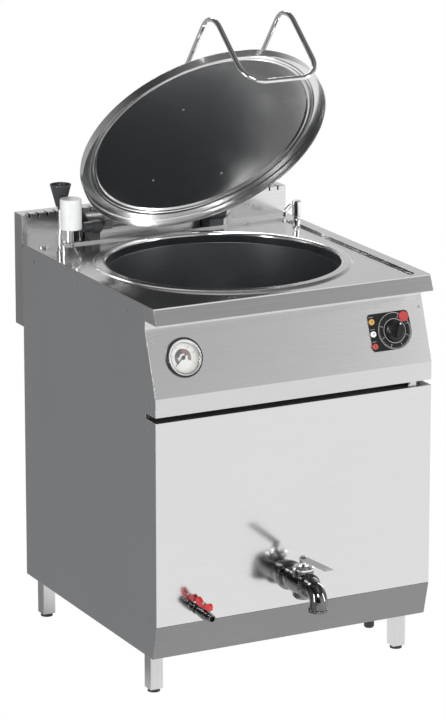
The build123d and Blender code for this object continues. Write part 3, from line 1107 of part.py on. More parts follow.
# --------------------------------------------------- jacket drain ball valve
valve_axis_y = Axis((fx(VALVE_X), 0, VALVE_Z), (0, 1, 0))
valve_profile = Plane(origin=(fx(VALVE_X), 0, VALVE_Z), x_dir=(0, 1, 0), z_dir=(1, 0, 0))
with BuildPart() as ball_valve_body:
    with BuildSketch(valve_profile):
        with BuildLine():
            Polyline((fy(1.6), 0), (fy(1.6), 6.5), (fy(-0.1), 6.5), (fy(-0.1), 11.5), (fy(-3), 11.5), (fy(-3), 8.0), (fy(-13), 8.0), (fy(-13), 10.5), (fy(-21), 10.5),
                     (fy(-24), 12.0), (fy(-49), 12.0), (fy(-52), 10.5), (fy(-60), 10.5), (fy(-60), 8.0), (fy(-72.5), 8.0), (fy(-72.5), 9.0), (fy(-76), 9.0), (fy(-76), 0), (fy(1.6), 0))
        make_face()
    revolve(axis=valve_axis_y)
    with BuildSketch(Plane.XY.offset(VALVE_Z)):
        with Locations((fx(VALVE_X), fy(VALVE_Y))):
            Circle(6.5)
    extrude(amount=16.0)
    with BuildSketch(Plane.XZ.offset(-fy(3))):
        with Locations((fx(VALVE_X), VALVE_Z)):
            Circle(5.0)
    extrude(amount=90, mode=Mode.SUBTRACT)
    with BuildSketch(Plane.XZ.offset(-fy(-64))):
        with Locations((fx(VALVE_X), VALVE_Z)):
            Circle(6.4)
    extrude(amount=20, mode=Mode.SUBTRACT)
    with BuildSketch(valve_profile):
        with BuildLine():
            Line((fy(VALVE_Y - 9.06), 0), (fy(VALVE_Y + 9.06), 0))
            ThreePointArc((fy(VALVE_Y + 9.06), 0), (fy(VALVE_Y), 9.06), (fy(VALVE_Y - 9.06), 0))
        make_face()
    revolve(axis=valve_axis_y, mode=Mode.SUBTRACT)
    with BuildSketch(Plane.XY.offset(VALVE_Z)):
        with Locations((fx(VALVE_X), fy(VALVE_Y))):
            Circle(3.06)
    extrude(amount=20.0, mode=Mode.SUBTRACT)
ball_valve_body.part.label = "ball_valve_body"
export_step(ball_valve_body.part, "parts/ball_valve_body.step")

with BuildPart() as ball_valve_ball:
    with BuildSketch(valve_profile):
        with BuildLine():
            Line((fy(VALVE_Y - 9.0), 0), (fy(VALVE_Y + 9.0), 0))
            ThreePointArc((fy(VALVE_Y + 9.0), 0), (fy(VALVE_Y), 9.0), (fy(VALVE_Y - 9.0), 0))
        make_face()
    revolve(axis=valve_axis_y)
    with BuildSketch(Plane.XY.offset(VALVE_Z)):
        with Locations((fx(VALVE_X), fy(VALVE_Y))):
            Circle(3.0)
    extrude(amount=22.0)
    with BuildSketch(Plane.XZ.offset(-fy(VALVE_Y + 20))):
        with Locations((fx(VALVE_X), VALVE_Z)):
            Circle(5.0)
    extrude(amount=40, mode=Mode.SUBTRACT)
ball_valve_ball.part.label = "ball_valve_ball"
export_step(ball_valve_ball.part, "parts/ball_valve_ball.step")

# Butterfly handle on the ball's stem.
with BuildPart() as ball_valve_handle:
    with BuildSketch(Plane.XY.offset(VALVE_Z + 17.0)):
        with Locations((fx(VALVE_X), fy(VALVE_Y))):
            Circle(8.0)
            Circle(3.04, mode=Mode.SUBTRACT)
    extrude(amount=5.0)
    with BuildSketch(Plane(origin=(fx(VALVE_X) - 4.5, 0, VALVE_Z), x_dir=(0, 1, 0), z_dir=(1, 0, 0))):
        with BuildLine():
            Polyline((fy(VALVE_Y + 7.0), 17.0), (fy(VALVE_Y + 12), 15.0), (fy(VALVE_Y + 27), 14.5), (fy(VALVE_Y + 33), 18.0), (fy(VALVE_Y + 34), 28.0), (fy(VALVE_Y + 29), 32.0),
                     (fy(VALVE_Y + 19), 30.0), (fy(VALVE_Y + 10), 24.0), (fy(VALVE_Y + 7.0), 22.0), (fy(VALVE_Y + 7.0), 17.0))
        make_face()
        with BuildLine():
            Polyline((fy(VALVE_Y - 7.0), 17.0), (fy(VALVE_Y - 12), 15.0), (fy(VALVE_Y - 27), 14.5), (fy(VALVE_Y - 33), 18.0), (fy(VALVE_Y - 34), 28.0), (fy(VALVE_Y - 29), 32.0),
                     (fy(VALVE_Y - 19), 30.0), (fy(VALVE_Y - 10), 24.0), (fy(VALVE_Y - 7.0), 22.0), (fy(VALVE_Y - 7.0), 17.0))
        make_face()
    extrude(amount=9.0)
ball_valve_handle.part.label = "ball_valve_handle"
export_step(ball_valve_handle.part, "parts/ball_valve_handle.step")

with BuildPart() as handle_nut:
    with BuildSketch(Plane.XY.offset(VALVE_Z + 22.05)):
        with Locations((fx(VALVE_X), fy(VALVE_Y))):
            RegularPolygon(5.8, 6)
    extrude(amount=4.0)
handle_nut.part.label = "handle_nut"
export_step(handle_nut.part, "parts/handle_nut.step")
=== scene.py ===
import math

import bmesh
import bpy
from mathutils import Matrix, Vector


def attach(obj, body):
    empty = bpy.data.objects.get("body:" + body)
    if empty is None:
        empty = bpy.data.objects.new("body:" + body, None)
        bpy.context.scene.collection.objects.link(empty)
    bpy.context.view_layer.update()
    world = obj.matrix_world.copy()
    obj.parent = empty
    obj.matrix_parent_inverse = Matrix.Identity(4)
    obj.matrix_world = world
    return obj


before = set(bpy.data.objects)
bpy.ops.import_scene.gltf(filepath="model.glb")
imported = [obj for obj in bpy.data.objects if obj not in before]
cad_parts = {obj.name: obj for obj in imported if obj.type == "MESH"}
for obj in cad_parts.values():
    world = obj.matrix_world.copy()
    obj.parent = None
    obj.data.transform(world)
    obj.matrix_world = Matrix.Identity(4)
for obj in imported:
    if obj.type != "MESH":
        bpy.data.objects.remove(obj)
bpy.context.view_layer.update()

scene = bpy.context.scene
MM = 0.001

# ---------------------------------------------------------------- camera
YAW, PITCH = math.radians(27.3181), math.radians(13.7052)
cam_data = bpy.data.cameras.new("camera")
cam_data.sensor_fit = "AUTO"
cam_data.sensor_width = 36.0
cam_data.lens = 3733.2 * 36.0 / 720.0
cam_data.shift_x = 0.0
cam_data.shift_y = -0.15
cam_data.clip_start, cam_data.clip_end = 0.1, 100.0
camera = bpy.data.objects.new("camera", cam_data)
camera.location = (-3.831, -7.3399, 2.962)
camera.rotation_euler = (math.pi / 2 - PITCH, 0.0, -YAW)
scene.collection.objects.link(camera)
scene.camera = camera
scene.view_settings.view_transform = "Standard"
scene.view_settings.look = "None"
scene.view_settings.exposure = 0.0
scene.view_settings.gamma = 1.0


# ---------------------------------------------------------------- node helpers
class Tree:
    """A new node material with one Principled shader and short ways to add nodes."""

    def __init__(self, name):
        self.mat = bpy.data.materials.new(name)
        self.mat.use_nodes = True
        self.nt = self.mat.node_tree
        self.nt.nodes.clear()
        self.out = self.nt.nodes.new("ShaderNodeOutputMaterial")
        self.b = self.nt.nodes.new("ShaderNodeBsdfPrincipled")
        self.nt.links.new(self.b.outputs[0], self.out.inputs[0])
        self.coord = self.nt.nodes.new("ShaderNodeTexCoord")

    def put(self, socket, value):
        if isinstance(value, bpy.types.NodeSocket):
            self.nt.links.new(value, socket)
        else:
            socket.default_value = value

    def noise(self, scale, detail=3.0, rough=0.55, stretch=(1, 1, 1), distort=0.0, turn=(0, 0, 0)):
        mp = self.nt.nodes.new("ShaderNodeMapping")
        mp.inputs["Scale"].default_value = stretch
        mp.inputs["Rotation"].default_value = turn
        self.nt.links.new(self.coord.outputs["Object"], mp.inputs["Vector"])
        n = self.nt.nodes.new("ShaderNodeTexNoise")
        n.inputs["Scale"].default_value = scale
        n.inputs["Detail"].default_value = detail
        n.inputs["Roughness"].default_value = rough
        n.inputs["Distortion"].default_value = distort
        self.nt.links.new(mp.outputs[0], n.inputs["Vector"])
        return n.outputs[0]

    def ramp(self, fac, stops, ease="LINEAR"):
        r = self.nt.nodes.new("ShaderNodeValToRGB")
        r.color_ramp.interpolation = ease
        while len(r.color_ramp.elements) < len(stops):
            r.color_ramp.elements.new(0.5)
        for e, (at, c) in zip(r.color_ramp.elements, stops):
            e.position = at
            e.color = (c, c, c, 1) if isinstance(c, (int, float)) else (*c, 1)
        self.nt.links.new(fac, r.inputs[0])
        return r.outputs[0]

    def mix(self, fac, a, b, how="MIX"):
        m = self.nt.nodes.new("ShaderNodeMix")
        m.data_type = "RGBA"
        m.blend_type = how
        for k, v in ((0, fac), (6, a), (7, b)):
            if isinstance(v, tuple) and len(v) == 3:
                v = (*v, 1)
            self.put(m.inputs[k], v)
        return m.outputs[2]

    def math(self, op, a, b=0.0, clamp=False):
        m = self.nt.nodes.new("ShaderNodeMath")
        m.operation = op
        m.use_clamp = clamp
        self.put(m.inputs[0], a)
        self.put(m.inputs[1], b)
        return m.outputs[0]

    def span(self, v, a, b, c, d):
        m = self.nt.nodes.new("ShaderNodeMapRange")
        self.put(m.inputs[0], v)
        for k, x in enumerate((a, b, c, d)):
            m.inputs[k + 1].default_value = x
        return m.outputs[0]

    def edge(self, radius, gain=6.0):
        """(mask that is 1 on convex and concave edges, rounded normal)"""
        bv = self.nt.nodes.new("ShaderNodeBevel")
        bv.samples = 4
        bv.inputs["Radius"].default_value = radius
        geo = self.nt.nodes.new("ShaderNodeNewGeometry")
        dot = self.nt.nodes.new("ShaderNodeVectorMath")
        dot.operation = "DOT_PRODUCT"
        self.nt.links.new(bv.outputs[0], dot.inputs[0])
        self.nt.links.new(geo.outputs["Normal"], dot.inputs[1])
        away = self.math("SUBTRACT", 1.0, dot.outputs["Value"])
        return self.math("MULTIPLY", away, gain, clamp=True), bv.outputs[0]

    def within(self, lo, hi):
        """1 inside a box given in mm in the object frame, 0 outside it."""
        sp = self.nt.nodes.new("ShaderNodeSeparateXYZ")
        self.nt.links.new(self.coord.outputs["Object"], sp.inputs[0])
        total = None
        for k in range(3):
            for op, v in (("GREATER_THAN", lo[k]), ("LESS_THAN", hi[k])):
                if v is None:
                    continue
                g = self.math(op, sp.outputs[k], v * MM)
                total = g if total is None else self.math("MULTIPLY", total, g)
        return total

    def bump(self, height, strength, distance, normal=None):
        bp = self.nt.nodes.new("ShaderNodeBump")
        bp.inputs["Strength"].default_value = strength
        bp.inputs["Distance"].default_value = distance
        self.nt.links.new(height, bp.inputs["Height"])
        if normal is not None:
            self.nt.links.new(normal, bp.inputs["Normal"])
        return bp.outputs[0]


def brushed(name, dark, light, rough, grain=(6, 700, 700), bump=0.06, cloud=3.0, edge_wear_and_highlight=None, edge=0.0009, smudge=0.5, tint=(1, 1, 1), zones=()):
    """Sheet steel with a drawn grain: fine streaks, faint clouding, wiped smudges, edges lightened partly as wear and
    partly as a painted highlight, and zone boxes of painted shade.
    """
    t = Tree(name)
    streak = t.noise(1.0, 4.0, 0.6, grain)
    fine = t.noise(1.0, 2.0, 0.5, tuple(g * 2.3 for g in grain))
    clouds = t.noise(cloud, 3.0, 0.5, (1, 1, 1), 0.6)
    wipe = t.noise(9.0, 4.0, 0.65, (1.0, 0.6, 2.2), 1.2)
    mixed = t.math("ADD", t.math("MULTIPLY", streak, 0.6), t.math("MULTIPLY", clouds, 0.4))
    low = tuple(dark * c for c in tint)
    high = tuple(light * c for c in tint)
    col = t.ramp(mixed, [(0.32, low), (0.68, high)])
    mask, soft = t.edge(edge)
    # Edges lightened here are partly wear and partly a painted highlight.
    if edge_wear_and_highlight:
        col = t.mix(mask, col, (edge_wear_and_highlight,) * 3)
    # Each zone box swaps the colour for its darker tone: painted shade.
    inside = [(t.within(a, b), shade, rr) for a, b, shade, rr in zones]
    for m, shade, _ in inside:
        col = t.mix(m, col, t.ramp(clouds, [(0.3, shade * 0.8), (0.7, shade * 1.15)]))
    t.put(t.b.inputs["Base Color"], col)
    t.b.inputs["Metallic"].default_value = 1.0
    r = t.span(t.math("ADD", t.math("MULTIPLY", fine, 0.65), t.math("MULTIPLY", wipe, 0.35 * smudge)), 0.25, 0.75, rough[0], rough[1])
    for m, _, rr in inside:
        r = t.math("ADD", t.math("MULTIPLY", r, t.math("SUBTRACT", 1.0, m)), t.math("MULTIPLY", m, rr))
    t.put(t.b.inputs["Roughness"], r)
    t.put(t.b.inputs["Normal"], t.bump(streak, bump, 0.0006, soft))
    return t.mat


def polished(name, dark, light, rough, spots=60.0, bump=0.012, tint=(1, 1, 1), edge=0.0007):
    """Bright turned or plated metal: a near mirror with tiny pits and hazy patches."""
    t = Tree(name)
    haze = t.noise(14.0, 4.0, 0.6, (1, 1, 1), 0.8)
    pits = t.noise(spots * 12, 2.0, 0.5)
    col = t.ramp(haze, [(0.3, tuple(dark * c for c in tint)), (0.7, tuple(light * c for c in tint))])
    mask, soft = t.edge(edge)
    # Edges lightened here are a painted highlight.
    col = t.mix(t.math("MULTIPLY", mask, 0.5), col, tuple(min(1.0, light * 1.15 * c) for c in tint))
    t.put(t.b.inputs["Base Color"], col)
    t.b.inputs["Metallic"].default_value = 1.0
    t.put(t.b.inputs["Roughness"], t.span(haze, 0.3, 0.7, rough[0], rough[1]))
    t.put(t.b.inputs["Normal"], t.bump(pits, bump, 0.0003, soft))
    return t.mat


def plastic(name, a, b, rough=(0.35, 0.5), grain=900.0, bump=0.08, coat=0.0, edge=0.0006, edge_wear_and_highlight=None, spec=0.5):
    """Moulded plastic or enamel: a fine texture, faint colour drift and edges lightened partly as rubbed wear and
    partly as a painted highlight.
    """
    t = Tree(name)
    drift = t.noise(26.0, 4.0, 0.6)
    tex = t.noise(grain, 2.0, 0.6)
    col = t.ramp(drift, [(0.3, a), (0.72, b)])
    mask, soft = t.edge(edge, 4.0)
    # Edges lightened here are partly wear and partly a painted highlight.
    if edge_wear_and_highlight:
        col = t.mix(mask, col, edge_wear_and_highlight)
    t.put(t.b.inputs["Base Color"], col)
    t.put(t.b.inputs["Roughness"], t.span(t.math("ADD", t.math("MULTIPLY", drift, 0.5), t.math("MULTIPLY", tex, 0.5)), 0.3, 0.7, rough[0], rough[1]))
    t.b.inputs["Specular IOR Level"].default_value = spec
    t.b.inputs["Coat Weight"].default_value = coat
    t.b.inputs["Coat Roughness"].default_value = 0.08
    t.put(t.b.inputs["Normal"], t.bump(tex, bump, 0.0002, soft))
    return t.mat


# ---------------------------------------------------------------- materials
GX = (5, 620, 620)      # grain drawn along the width
GY = (620, 5, 620)      # along the depth
GZ = (620, 620, 5)      # upright
M = {}
SLOT_SHADE_ZONE = ((-348.4, -276.5, 650.0), (348.4, -229.0, 670.0), 0.30, 0.5)      # inside the finger slot: painted shade where no light gets in, and rougher as never polished
FLUE_SHADE_ZONE = ((-348.9, 426.0, 600.0), (348.9, 464.9, 976.9), 0.02, 0.8)       # inside the upstand: near black and dull, painted shade
LEFT_END_SHADE_ZONE = ((None, None, None), (-349.3, None, None), 0.40, 0.42)             # folded ends of the worktop, darkened like the sides: painted shade
RIGHT_END_SHADE_ZONE = ((349.3, None, None), (None, None, None), 0.40, 0.42)
LEFT_LEG_SHADE_ZONE = ((None, None, None), (-330.6, None, None), 0.52, 0.42)      # outward faces of the legs, darker and rougher: painted shade on the side faces
RIGHT_LEG_SHADE_ZONE = ((330.6, None, None), (None, None, None), 0.52, 0.42)
M["worktop_steel"] = brushed("worktop_steel", 0.64, 0.76, (0.12, 0.20), GX, 0.012, 2.0, 0.95, 0.0012, zones=(LEFT_END_SHADE_ZONE, RIGHT_END_SHADE_ZONE))
M["front_steel"] = brushed("front_steel", 0.70, 0.73, (0.13, 0.17), (9, 500, 500), 0.010, 1.6, 0.92, 0.001, zones=(SLOT_SHADE_ZONE,))
# Same steel as the front with a darker base colour: painted shade on the sides.
M["side_steel"] = brushed("side_steel", 0.40, 0.44, (0.34, 0.42), GZ, 0.03, 1.2, 0.72, 0.0009, tint=(0.97, 1.0, 1.03))
M["control_steel"] = brushed("control_steel", 0.63, 0.67, (0.24, 0.30), (9, 500, 500), 0.02, 1.8, 0.92, 0.001, zones=(SLOT_SHADE_ZONE,))
# Darker copy of the cabinet steel: painted shade on the kick panel, which faces down.
M["plinth_steel"] = brushed("plinth_steel", 0.245, 0.285, (0.32, 0.42), GX, 0.04, 1.8, 0.6, 0.001)
M["flue_steel"] = brushed("flue_steel", 0.66, 0.76, (0.14, 0.22), GX, 0.02, 2.0, 0.9, 0.001, zones=(FLUE_SHADE_ZONE, LEFT_END_SHADE_ZONE, RIGHT_END_SHADE_ZONE))
M["pan_steel"] = brushed("pan_steel", 0.42, 0.50, (0.30, 0.40), (40, 40, 300), 0.04, 5.0, 0.5, 0.001, tint=(0.95, 1.0, 1.05))
M["jacket_steel"] = brushed("jacket_steel", 0.45, 0.58, (0.3, 0.42), GZ, 0.06, 5.0, 0.7)
M["lid_steel"] = brushed("lid_steel", 0.74, 0.86, (0.18, 0.28), (300, 9, 300), 0.012, 4.0, 0.97, 0.0009, 1.0)
M["leg_steel"] = brushed("leg_steel", 0.60, 0.70, (0.25, 0.36), GZ, 0.05, 8.0, 0.9, zones=(LEFT_LEG_SHADE_ZONE, RIGHT_LEG_SHADE_ZONE))
M["frame_zinc"] = brushed("frame_zinc", 0.42, 0.56, (0.38, 0.5), (60, 60, 60), 0.12, 30.0, 0.7)
# Dark grey for the strip inside the finger slot: painted shade.
M["slot_shade_grey"] = brushed("slot_shade_grey", 0.16, 0.22, (0.5, 0.62), (60, 60, 60), 0.1, 12.0)
M["screw_steel"] = brushed("screw_steel", 0.42, 0.55, (0.3, 0.4), (400, 400, 400), 0.08, 40.0, 0.7, 0.0004)
M["catch_steel"] = brushed("catch_steel", 0.55, 0.68, (0.25, 0.38), GX, 0.06, 12.0, 0.9, 0.0005)
M["pipe_steel"] = brushed("pipe_steel", 0.50, 0.64, (0.25, 0.36), GZ, 0.06, 10.0, 0.85, 0.0006)
M["hinge_arm_steel"] = brushed("hinge_arm_steel", 0.6, 0.72, (0.2, 0.32), GY, 0.05, 10.0, 0.92, 0.0006)
M["element_sheath"] = brushed("element_sheath", 0.22, 0.34, (0.4, 0.55), (80, 80, 80), 0.1, 20.0, 0.45)
M["chrome"] = polished("chrome", 0.78, 0.88, (0.045, 0.09))
# Darker copies of the chrome for the tap and valve bodies and the tap lever: painted shade.
M["chrome_shade_dark"] = polished("chrome_shade_dark", 0.15, 0.24, (0.03, 0.06))
M["chrome_shade_mid"] = polished("chrome_shade_mid", 0.46, 0.58, (0.03, 0.06))
M["shaft_steel"] = polished("shaft_steel", 0.62, 0.74, (0.08, 0.16))
M["copper_tube"] = polished("copper_tube", 0.72, 0.86, (0.2, 0.34), 40, 0.03, (0.98, 0.56, 0.36))
M["brass"] = polished("brass", 0.66, 0.8, (0.2, 0.34), 40, 0.03, (0.96, 0.74, 0.38))
M["gauge_bezel"] = polished("gauge_bezel", 0.82, 0.94, (0.16, 0.26))
M["hinge_dark"] = plastic("hinge_dark", (0.030, 0.032, 0.034), (0.055, 0.057, 0.060), (0.28, 0.42), 700, 0.1, 0.3, edge_wear_and_highlight=(0.22, 0.22, 0.23))
M["insulation"] = plastic("insulation", (0.50, 0.42, 0.26), (0.62, 0.55, 0.38), (0.85, 0.95), 260, 0.7)
M["foot_plastic"] = plastic("foot_plastic", (0.012, 0.012, 0.013), (0.022, 0.022, 0.024), (0.4, 0.55))
M["gauge_black"] = plastic("gauge_black", (0.006, 0.006, 0.007), (0.012, 0.012, 0.013), (0.22, 0.34), 900, 0.05, 0.4)
M["gauge_face"] = plastic("gauge_face", (0.60, 0.60, 0.57), (0.70, 0.70, 0.67), (0.4, 0.5), 500, 0.03)
M["needle_black"] = plastic("needle_black", (0.010, 0.010, 0.010), (0.020, 0.020, 0.020), (0.3, 0.42))
M["plate_black"] = plastic("plate_black", (0.005, 0.006, 0.006), (0.009, 0.010, 0.010), (0.14, 0.22), 600, 0.02, 0.0, edge_wear_and_highlight=(0.06, 0.06, 0.06), spec=0.35)
M["knob_black"] = plastic("knob_black", (0.005, 0.005, 0.006), (0.010, 0.010, 0.011), (0.22, 0.32), 900, 0.03, 0.0, 0.0008, (0.05, 0.05, 0.05), spec=0.35)
M["switch_body"] = plastic("switch_body", (0.03, 0.03, 0.03), (0.05, 0.05, 0.05))
M["cap_red"] = plastic("cap_red", (0.36, 0.020, 0.022), (0.44, 0.032, 0.032), (0.3, 0.42), 700, 0.05, 0.1, edge_wear_and_highlight=(0.5, 0.10, 0.09))
M["cap_white"] = plastic("cap_white", (0.70, 0.71, 0.71), (0.80, 0.81, 0.81), (0.32, 0.44), 800, 0.04, 0.2)
M["funnel_black"] = plastic("funnel_black", (0.022, 0.024, 0.027), (0.040, 0.042, 0.046), (0.3, 0.42), 700, 0.06, 0.2, edge_wear_and_highlight=(0.14, 0.14, 0.15))
M["handle_red"] = plastic("handle_red", (0.50, 0.012, 0.014), (0.62, 0.022, 0.022), (0.28, 0.4), 800, 0.06, 0.3, edge_wear_and_highlight=(0.85, 0.15, 0.12))
M["gland_black"] = plastic("gland_black", (0.014, 0.014, 0.015), (0.026, 0.026, 0.028), (0.35, 0.5))
M["lamp_amber"] = plastic("lamp_amber", (0.56, 0.30, 0.06), (0.68, 0.40, 0.12), (0.14, 0.22), 400, 0.05, 0.5)
M["lamp_clear"] = plastic("lamp_clear", (0.80, 0.83, 0.80), (0.92, 0.94, 0.92), (0.14, 0.22), 400, 0.05, 0.5)
M["lamp_red"] = plastic("lamp_red", (0.40, 0.035, 0.03), (0.50, 0.07, 0.06), (0.14, 0.22), 400, 0.05, 0.5)
M["ink_light"] = plastic("ink_light", (0.42, 0.42, 0.42), (0.52, 0.52, 0.52), (0.4, 0.55))
M["ink_dim"] = plastic("ink_dim", (0.10, 0.10, 0.10), (0.15, 0.15, 0.15), (0.35, 0.5))
M["ink_white"] = plastic("ink_white", (0.80, 0.80, 0.80), (0.90, 0.90, 0.90), (0.3, 0.4))
M["ink_black"] = plastic("ink_black", (0.010, 0.014, 0.011), (0.030, 0.036, 0.030), (0.4, 0.5), 300)
M["ink_slate"] = plastic("ink_slate", (0.060, 0.062, 0.075), (0.105, 0.108, 0.125), (0.4, 0.5), 300)
M["ink_maroon"] = plastic("ink_maroon", (0.095, 0.050, 0.048), (0.19, 0.11, 0.10), (0.4, 0.5), 300)
M["ink_brown"] = plastic("ink_brown", (0.12, 0.095, 0.08), (0.22, 0.18, 0.155), (0.4, 0.5), 300)
M["ink_red"] = plastic("ink_red", (0.36, 0.10, 0.12), (0.50, 0.20, 0.22), (0.4, 0.5))
M["ink_grey"] = plastic("ink_grey", (0.22, 0.22, 0.21), (0.30, 0.30, 0.29), (0.4, 0.5))

lens = Tree("gauge_lens")
drift = lens.noise(30.0, 3.0, 0.5)
lens.put(lens.b.inputs["Base Color"], lens.ramp(drift, [(0.3, (0.82, 0.85, 0.85)), (0.7, (0.92, 0.94, 0.94))]))
lens.put(lens.b.inputs["Roughness"], lens.span(drift, 0.3, 0.7, 0.02, 0.05))
lens.b.inputs["Alpha"].default_value = 0.05
M["gauge_lens"] = lens.mat

NODE_SLOT = {
    "worktop": "worktop_steel", "front_panel": "front_steel", "side_panel_left": "side_steel", "side_panel_right": "side_steel",
    "rear_panel": "flue_steel", "base_tray": "frame_zinc", "kick_panel": "plinth_steel", "control_panel": "control_steel",
    "flue_upstand": "flue_steel", "inner_frame": "frame_zinc", "slot_strip": "slot_shade_grey", "legs": "leg_steel", "levelling_feet": "foot_plastic",
    "panel_catch": "catch_steel", "panel_screws": "screw_steel", "inner_pan": "pan_steel", "steam_jacket": "jacket_steel",
    "jacket_insulation": "insulation", "element_flange": "brass", "heating_elements": "element_sheath", "drain_pipe": "pipe_steel",
    "drain_strainer": "pipe_steel", "jacket_drain_pipe": "pipe_steel", "gauge_case": "gauge_black", "gauge_bezel": "gauge_bezel",
    "gauge_dial": "gauge_face", "gauge_glass": "gauge_lens", "gauge_needle": "needle_black", "pressure_pipe": "copper_tube",
    "control_plate": "plate_black", "control_knob": "knob_black", "selector_switch": "switch_body", "lamp_amber": "lamp_amber",
    "lamp_clear": "lamp_clear", "lamp_red": "lamp_red", "reset_cap": "cap_red", "filling_pipe": "chrome", "filling_funnel": "funnel_black",
    "safety_valve_body": "chrome", "safety_valve_cap": "cap_white", "vent_lever": "chrome", "water_tap_body": "chrome",
    "water_tap_spout": "chrome", "water_pipe": "copper_tube", "cable_gland": "gland_black", "hinge_shaft": "shaft_steel",
    "hinge_brackets": "hinge_dark", "spring_housing": "hinge_dark", "hinge_end_plate": "chrome", "lid_shell": "lid_steel",
    "lid_handle": "chrome", "hinge_arms": "hinge_arm_steel", "discharge_tap_body": "chrome_shade_dark", "discharge_tap_plug": "chrome",
    "discharge_tap_bonnet": "chrome", "discharge_tap_lever": "chrome_shade_mid", "ball_valve_body": "chrome_shade_dark", "ball_valve_ball": "chrome",
    "ball_valve_handle": "handle_red", "handle_nut": "chrome",
}
for name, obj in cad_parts.items():
    mat = M[NODE_SLOT[name]]
    if not obj.material_slots:
        obj.data.materials.append(mat)
    for s in obj.material_slots:
        s.material = mat


# ---------------------------------------------------------------- geometry helpers
def slope_frame(x, s, h=0.0):
    """Frame on the leaning control panel: x across from the cabinet's left, s up its slope, h off its face (mm)."""
    o = Vector((x - 350.0, -279.0 + 0.3266 * s - 0.9452 * h, 708.0 + 0.9452 * s + 0.3266 * h)) * MM
    m = Matrix(((1, 0, 0), (0, 0.3266, -0.9452), (0, 0.9452, 0.3266))).to_4x4()
    m.translation = o
    return m


def made(name, bm, where, mats, body, smooth=False):
    """Turns a bmesh in mm, in the local frame where, into a piece that rides on body."""
    bmesh.ops.scale(bm, vec=(MM,) * 3, verts=bm.verts)
    bmesh.ops.transform(bm, matrix=where, verts=bm.verts)
    bmesh.ops.recalc_face_normals(bm, faces=bm.faces)
    me = bpy.data.meshes.new(name)
    for f in bm.faces:
        f.smooth = smooth
    bm.to_mesh(me)
    bm.free()
    ob = bpy.data.objects.new(name, me)
    scene.collection.objects.link(ob)
    for m in mats if isinstance(mats, (list, tuple)) else [mats]:
        me.materials.append(m)
    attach(ob, body)
    return ob


def prism(bm, pts, h0, h1, index=0):
    """Closed prism over a flat outline."""
    lo = [bm.verts.new((p[0], p[1], h0)) for p in pts]
    hi = [bm.verts.new((p[0], p[1], h1)) for p in pts]
    n = len(pts)
    faces = [bm.faces.new(lo[::-1]), bm.faces.new(hi)]
    for i in range(n):
        j = (i + 1) % n
        faces.append(bm.faces.new((lo[i], lo[j], hi[j], hi[i])))
    for f in faces:
        f.material_index = index


def sector(bm, r0, r1, a0, a1, h0, h1, index=0, step=4.0, centre=(0, 0)):
    """Closed arc band between two radii and two angles in degrees; a full turn closes on itself."""
    full = abs(abs(a1 - a0) - 360) < 1e-6
    n = max(2, int(abs(a1 - a0) / step))
    rows = []
    for i in range(n if full else n + 1):
        a = math.radians(a0 + (a1 - a0) * i / n)
        c, s = math.cos(a), math.sin(a)
        rows.append([bm.verts.new((centre[0] + r * c, centre[1] + r * s, h)) for r, h in ((r0, h0), (r1, h0), (r1, h1), (r0, h1))])
    m = len(rows)
    for i in range(m if full else m - 1):
        a, b = rows[i], rows[(i + 1) % m]
        for k in range(4):
            q = (k + 1) % 4
            bm.faces.new((a[k], a[q], b[q], b[k])).material_index = index
    if not full:
        bm.faces.new(rows[0]).material_index = index
        bm.faces.new(rows[-1][::-1]).material_index = index


def lathe(bm, profile, n=24, centre=(0, 0), index=0):
    """Closed turned solid from (radius, height) pairs that start and end on the axis."""
    rings = []
    for r, h in profile:
        if r < 1e-6:
            rings.append([bm.verts.new((centre[0], centre[1], h))])
        else:
            rings.append([bm.verts.new((centre[0] + r * math.cos(2 * math.pi * i / n), centre[1] + r * math.sin(2 * math.pi * i / n), h)) for i in range(n)])
    for a, b in zip(rings, rings[1:]):
        for i in range(n):
            j = (i + 1) % n
            if len(a) == 1 and len(b) == 1:
                continue
            if len(a) == 1:
                f = bm.faces.new((a[0], b[j], b[i]))
            elif len(b) == 1:
                f = bm.faces.new((a[i], a[j], b[0]))
            else:
                f = bm.faces.new((a[i], a[j], b[j], b[i]))
            f.material_index = index


def bar(bm, a, r0, r1, w, h0, h1, index=0):
    """Radial tick at angle a in degrees."""
    c, s = math.cos(math.radians(a)), math.sin(math.radians(a))
    pts = [(r0 * c + w / 2 * s, r0 * s - w / 2 * c), (r1 * c + w / 2 * s, r1 * s - w / 2 * c),
           (r1 * c - w / 2 * s, r1 * s + w / 2 * c), (r0 * c - w / 2 * s, r0 * s + w / 2 * c)]
    prism(bm, pts, h0, h1, index)


def numerals(name, labels, size, h0, h1, where, mat, body):
    """Raised numerals, each (text, x, y, turn in degrees), as one mesh."""
    bm = bmesh.new()
    for text, x, y, turn in labels:
        cu = bpy.data.curves.new(name + "_line", "FONT")
        cu.body = text
        cu.size = size
        cu.align_x = "CENTER"
        cu.align_y = "CENTER"
        cu.extrude = (h1 - h0) / 2
        cu.resolution_u = 3
        ob = bpy.data.objects.new(name + "_line", cu)
        scene.collection.objects.link(ob)
        bpy.context.view_layer.update()
        me = bpy.data.meshes.new_from_object(ob)
        part = bmesh.new()
        part.from_mesh(me)
        bmesh.ops.remove_doubles(part, verts=part.verts, dist=1e-4)
        bmesh.ops.transform(part, matrix=Matrix.Translation((x, y, (h0 + h1) / 2)) @ Matrix.Rotation(math.radians(turn), 4, "Z"), verts=part.verts)
        tmp = bpy.data.meshes.new("tmp")
        part.to_mesh(tmp)
        part.free()
        bm.from_mesh(tmp)
        bpy.data.objects.remove(ob)
        bpy.data.meshes.remove(me)
        bpy.data.meshes.remove(tmp)
        bpy.data.curves.remove(cu)
    return made(name, bm, where, mat, body)


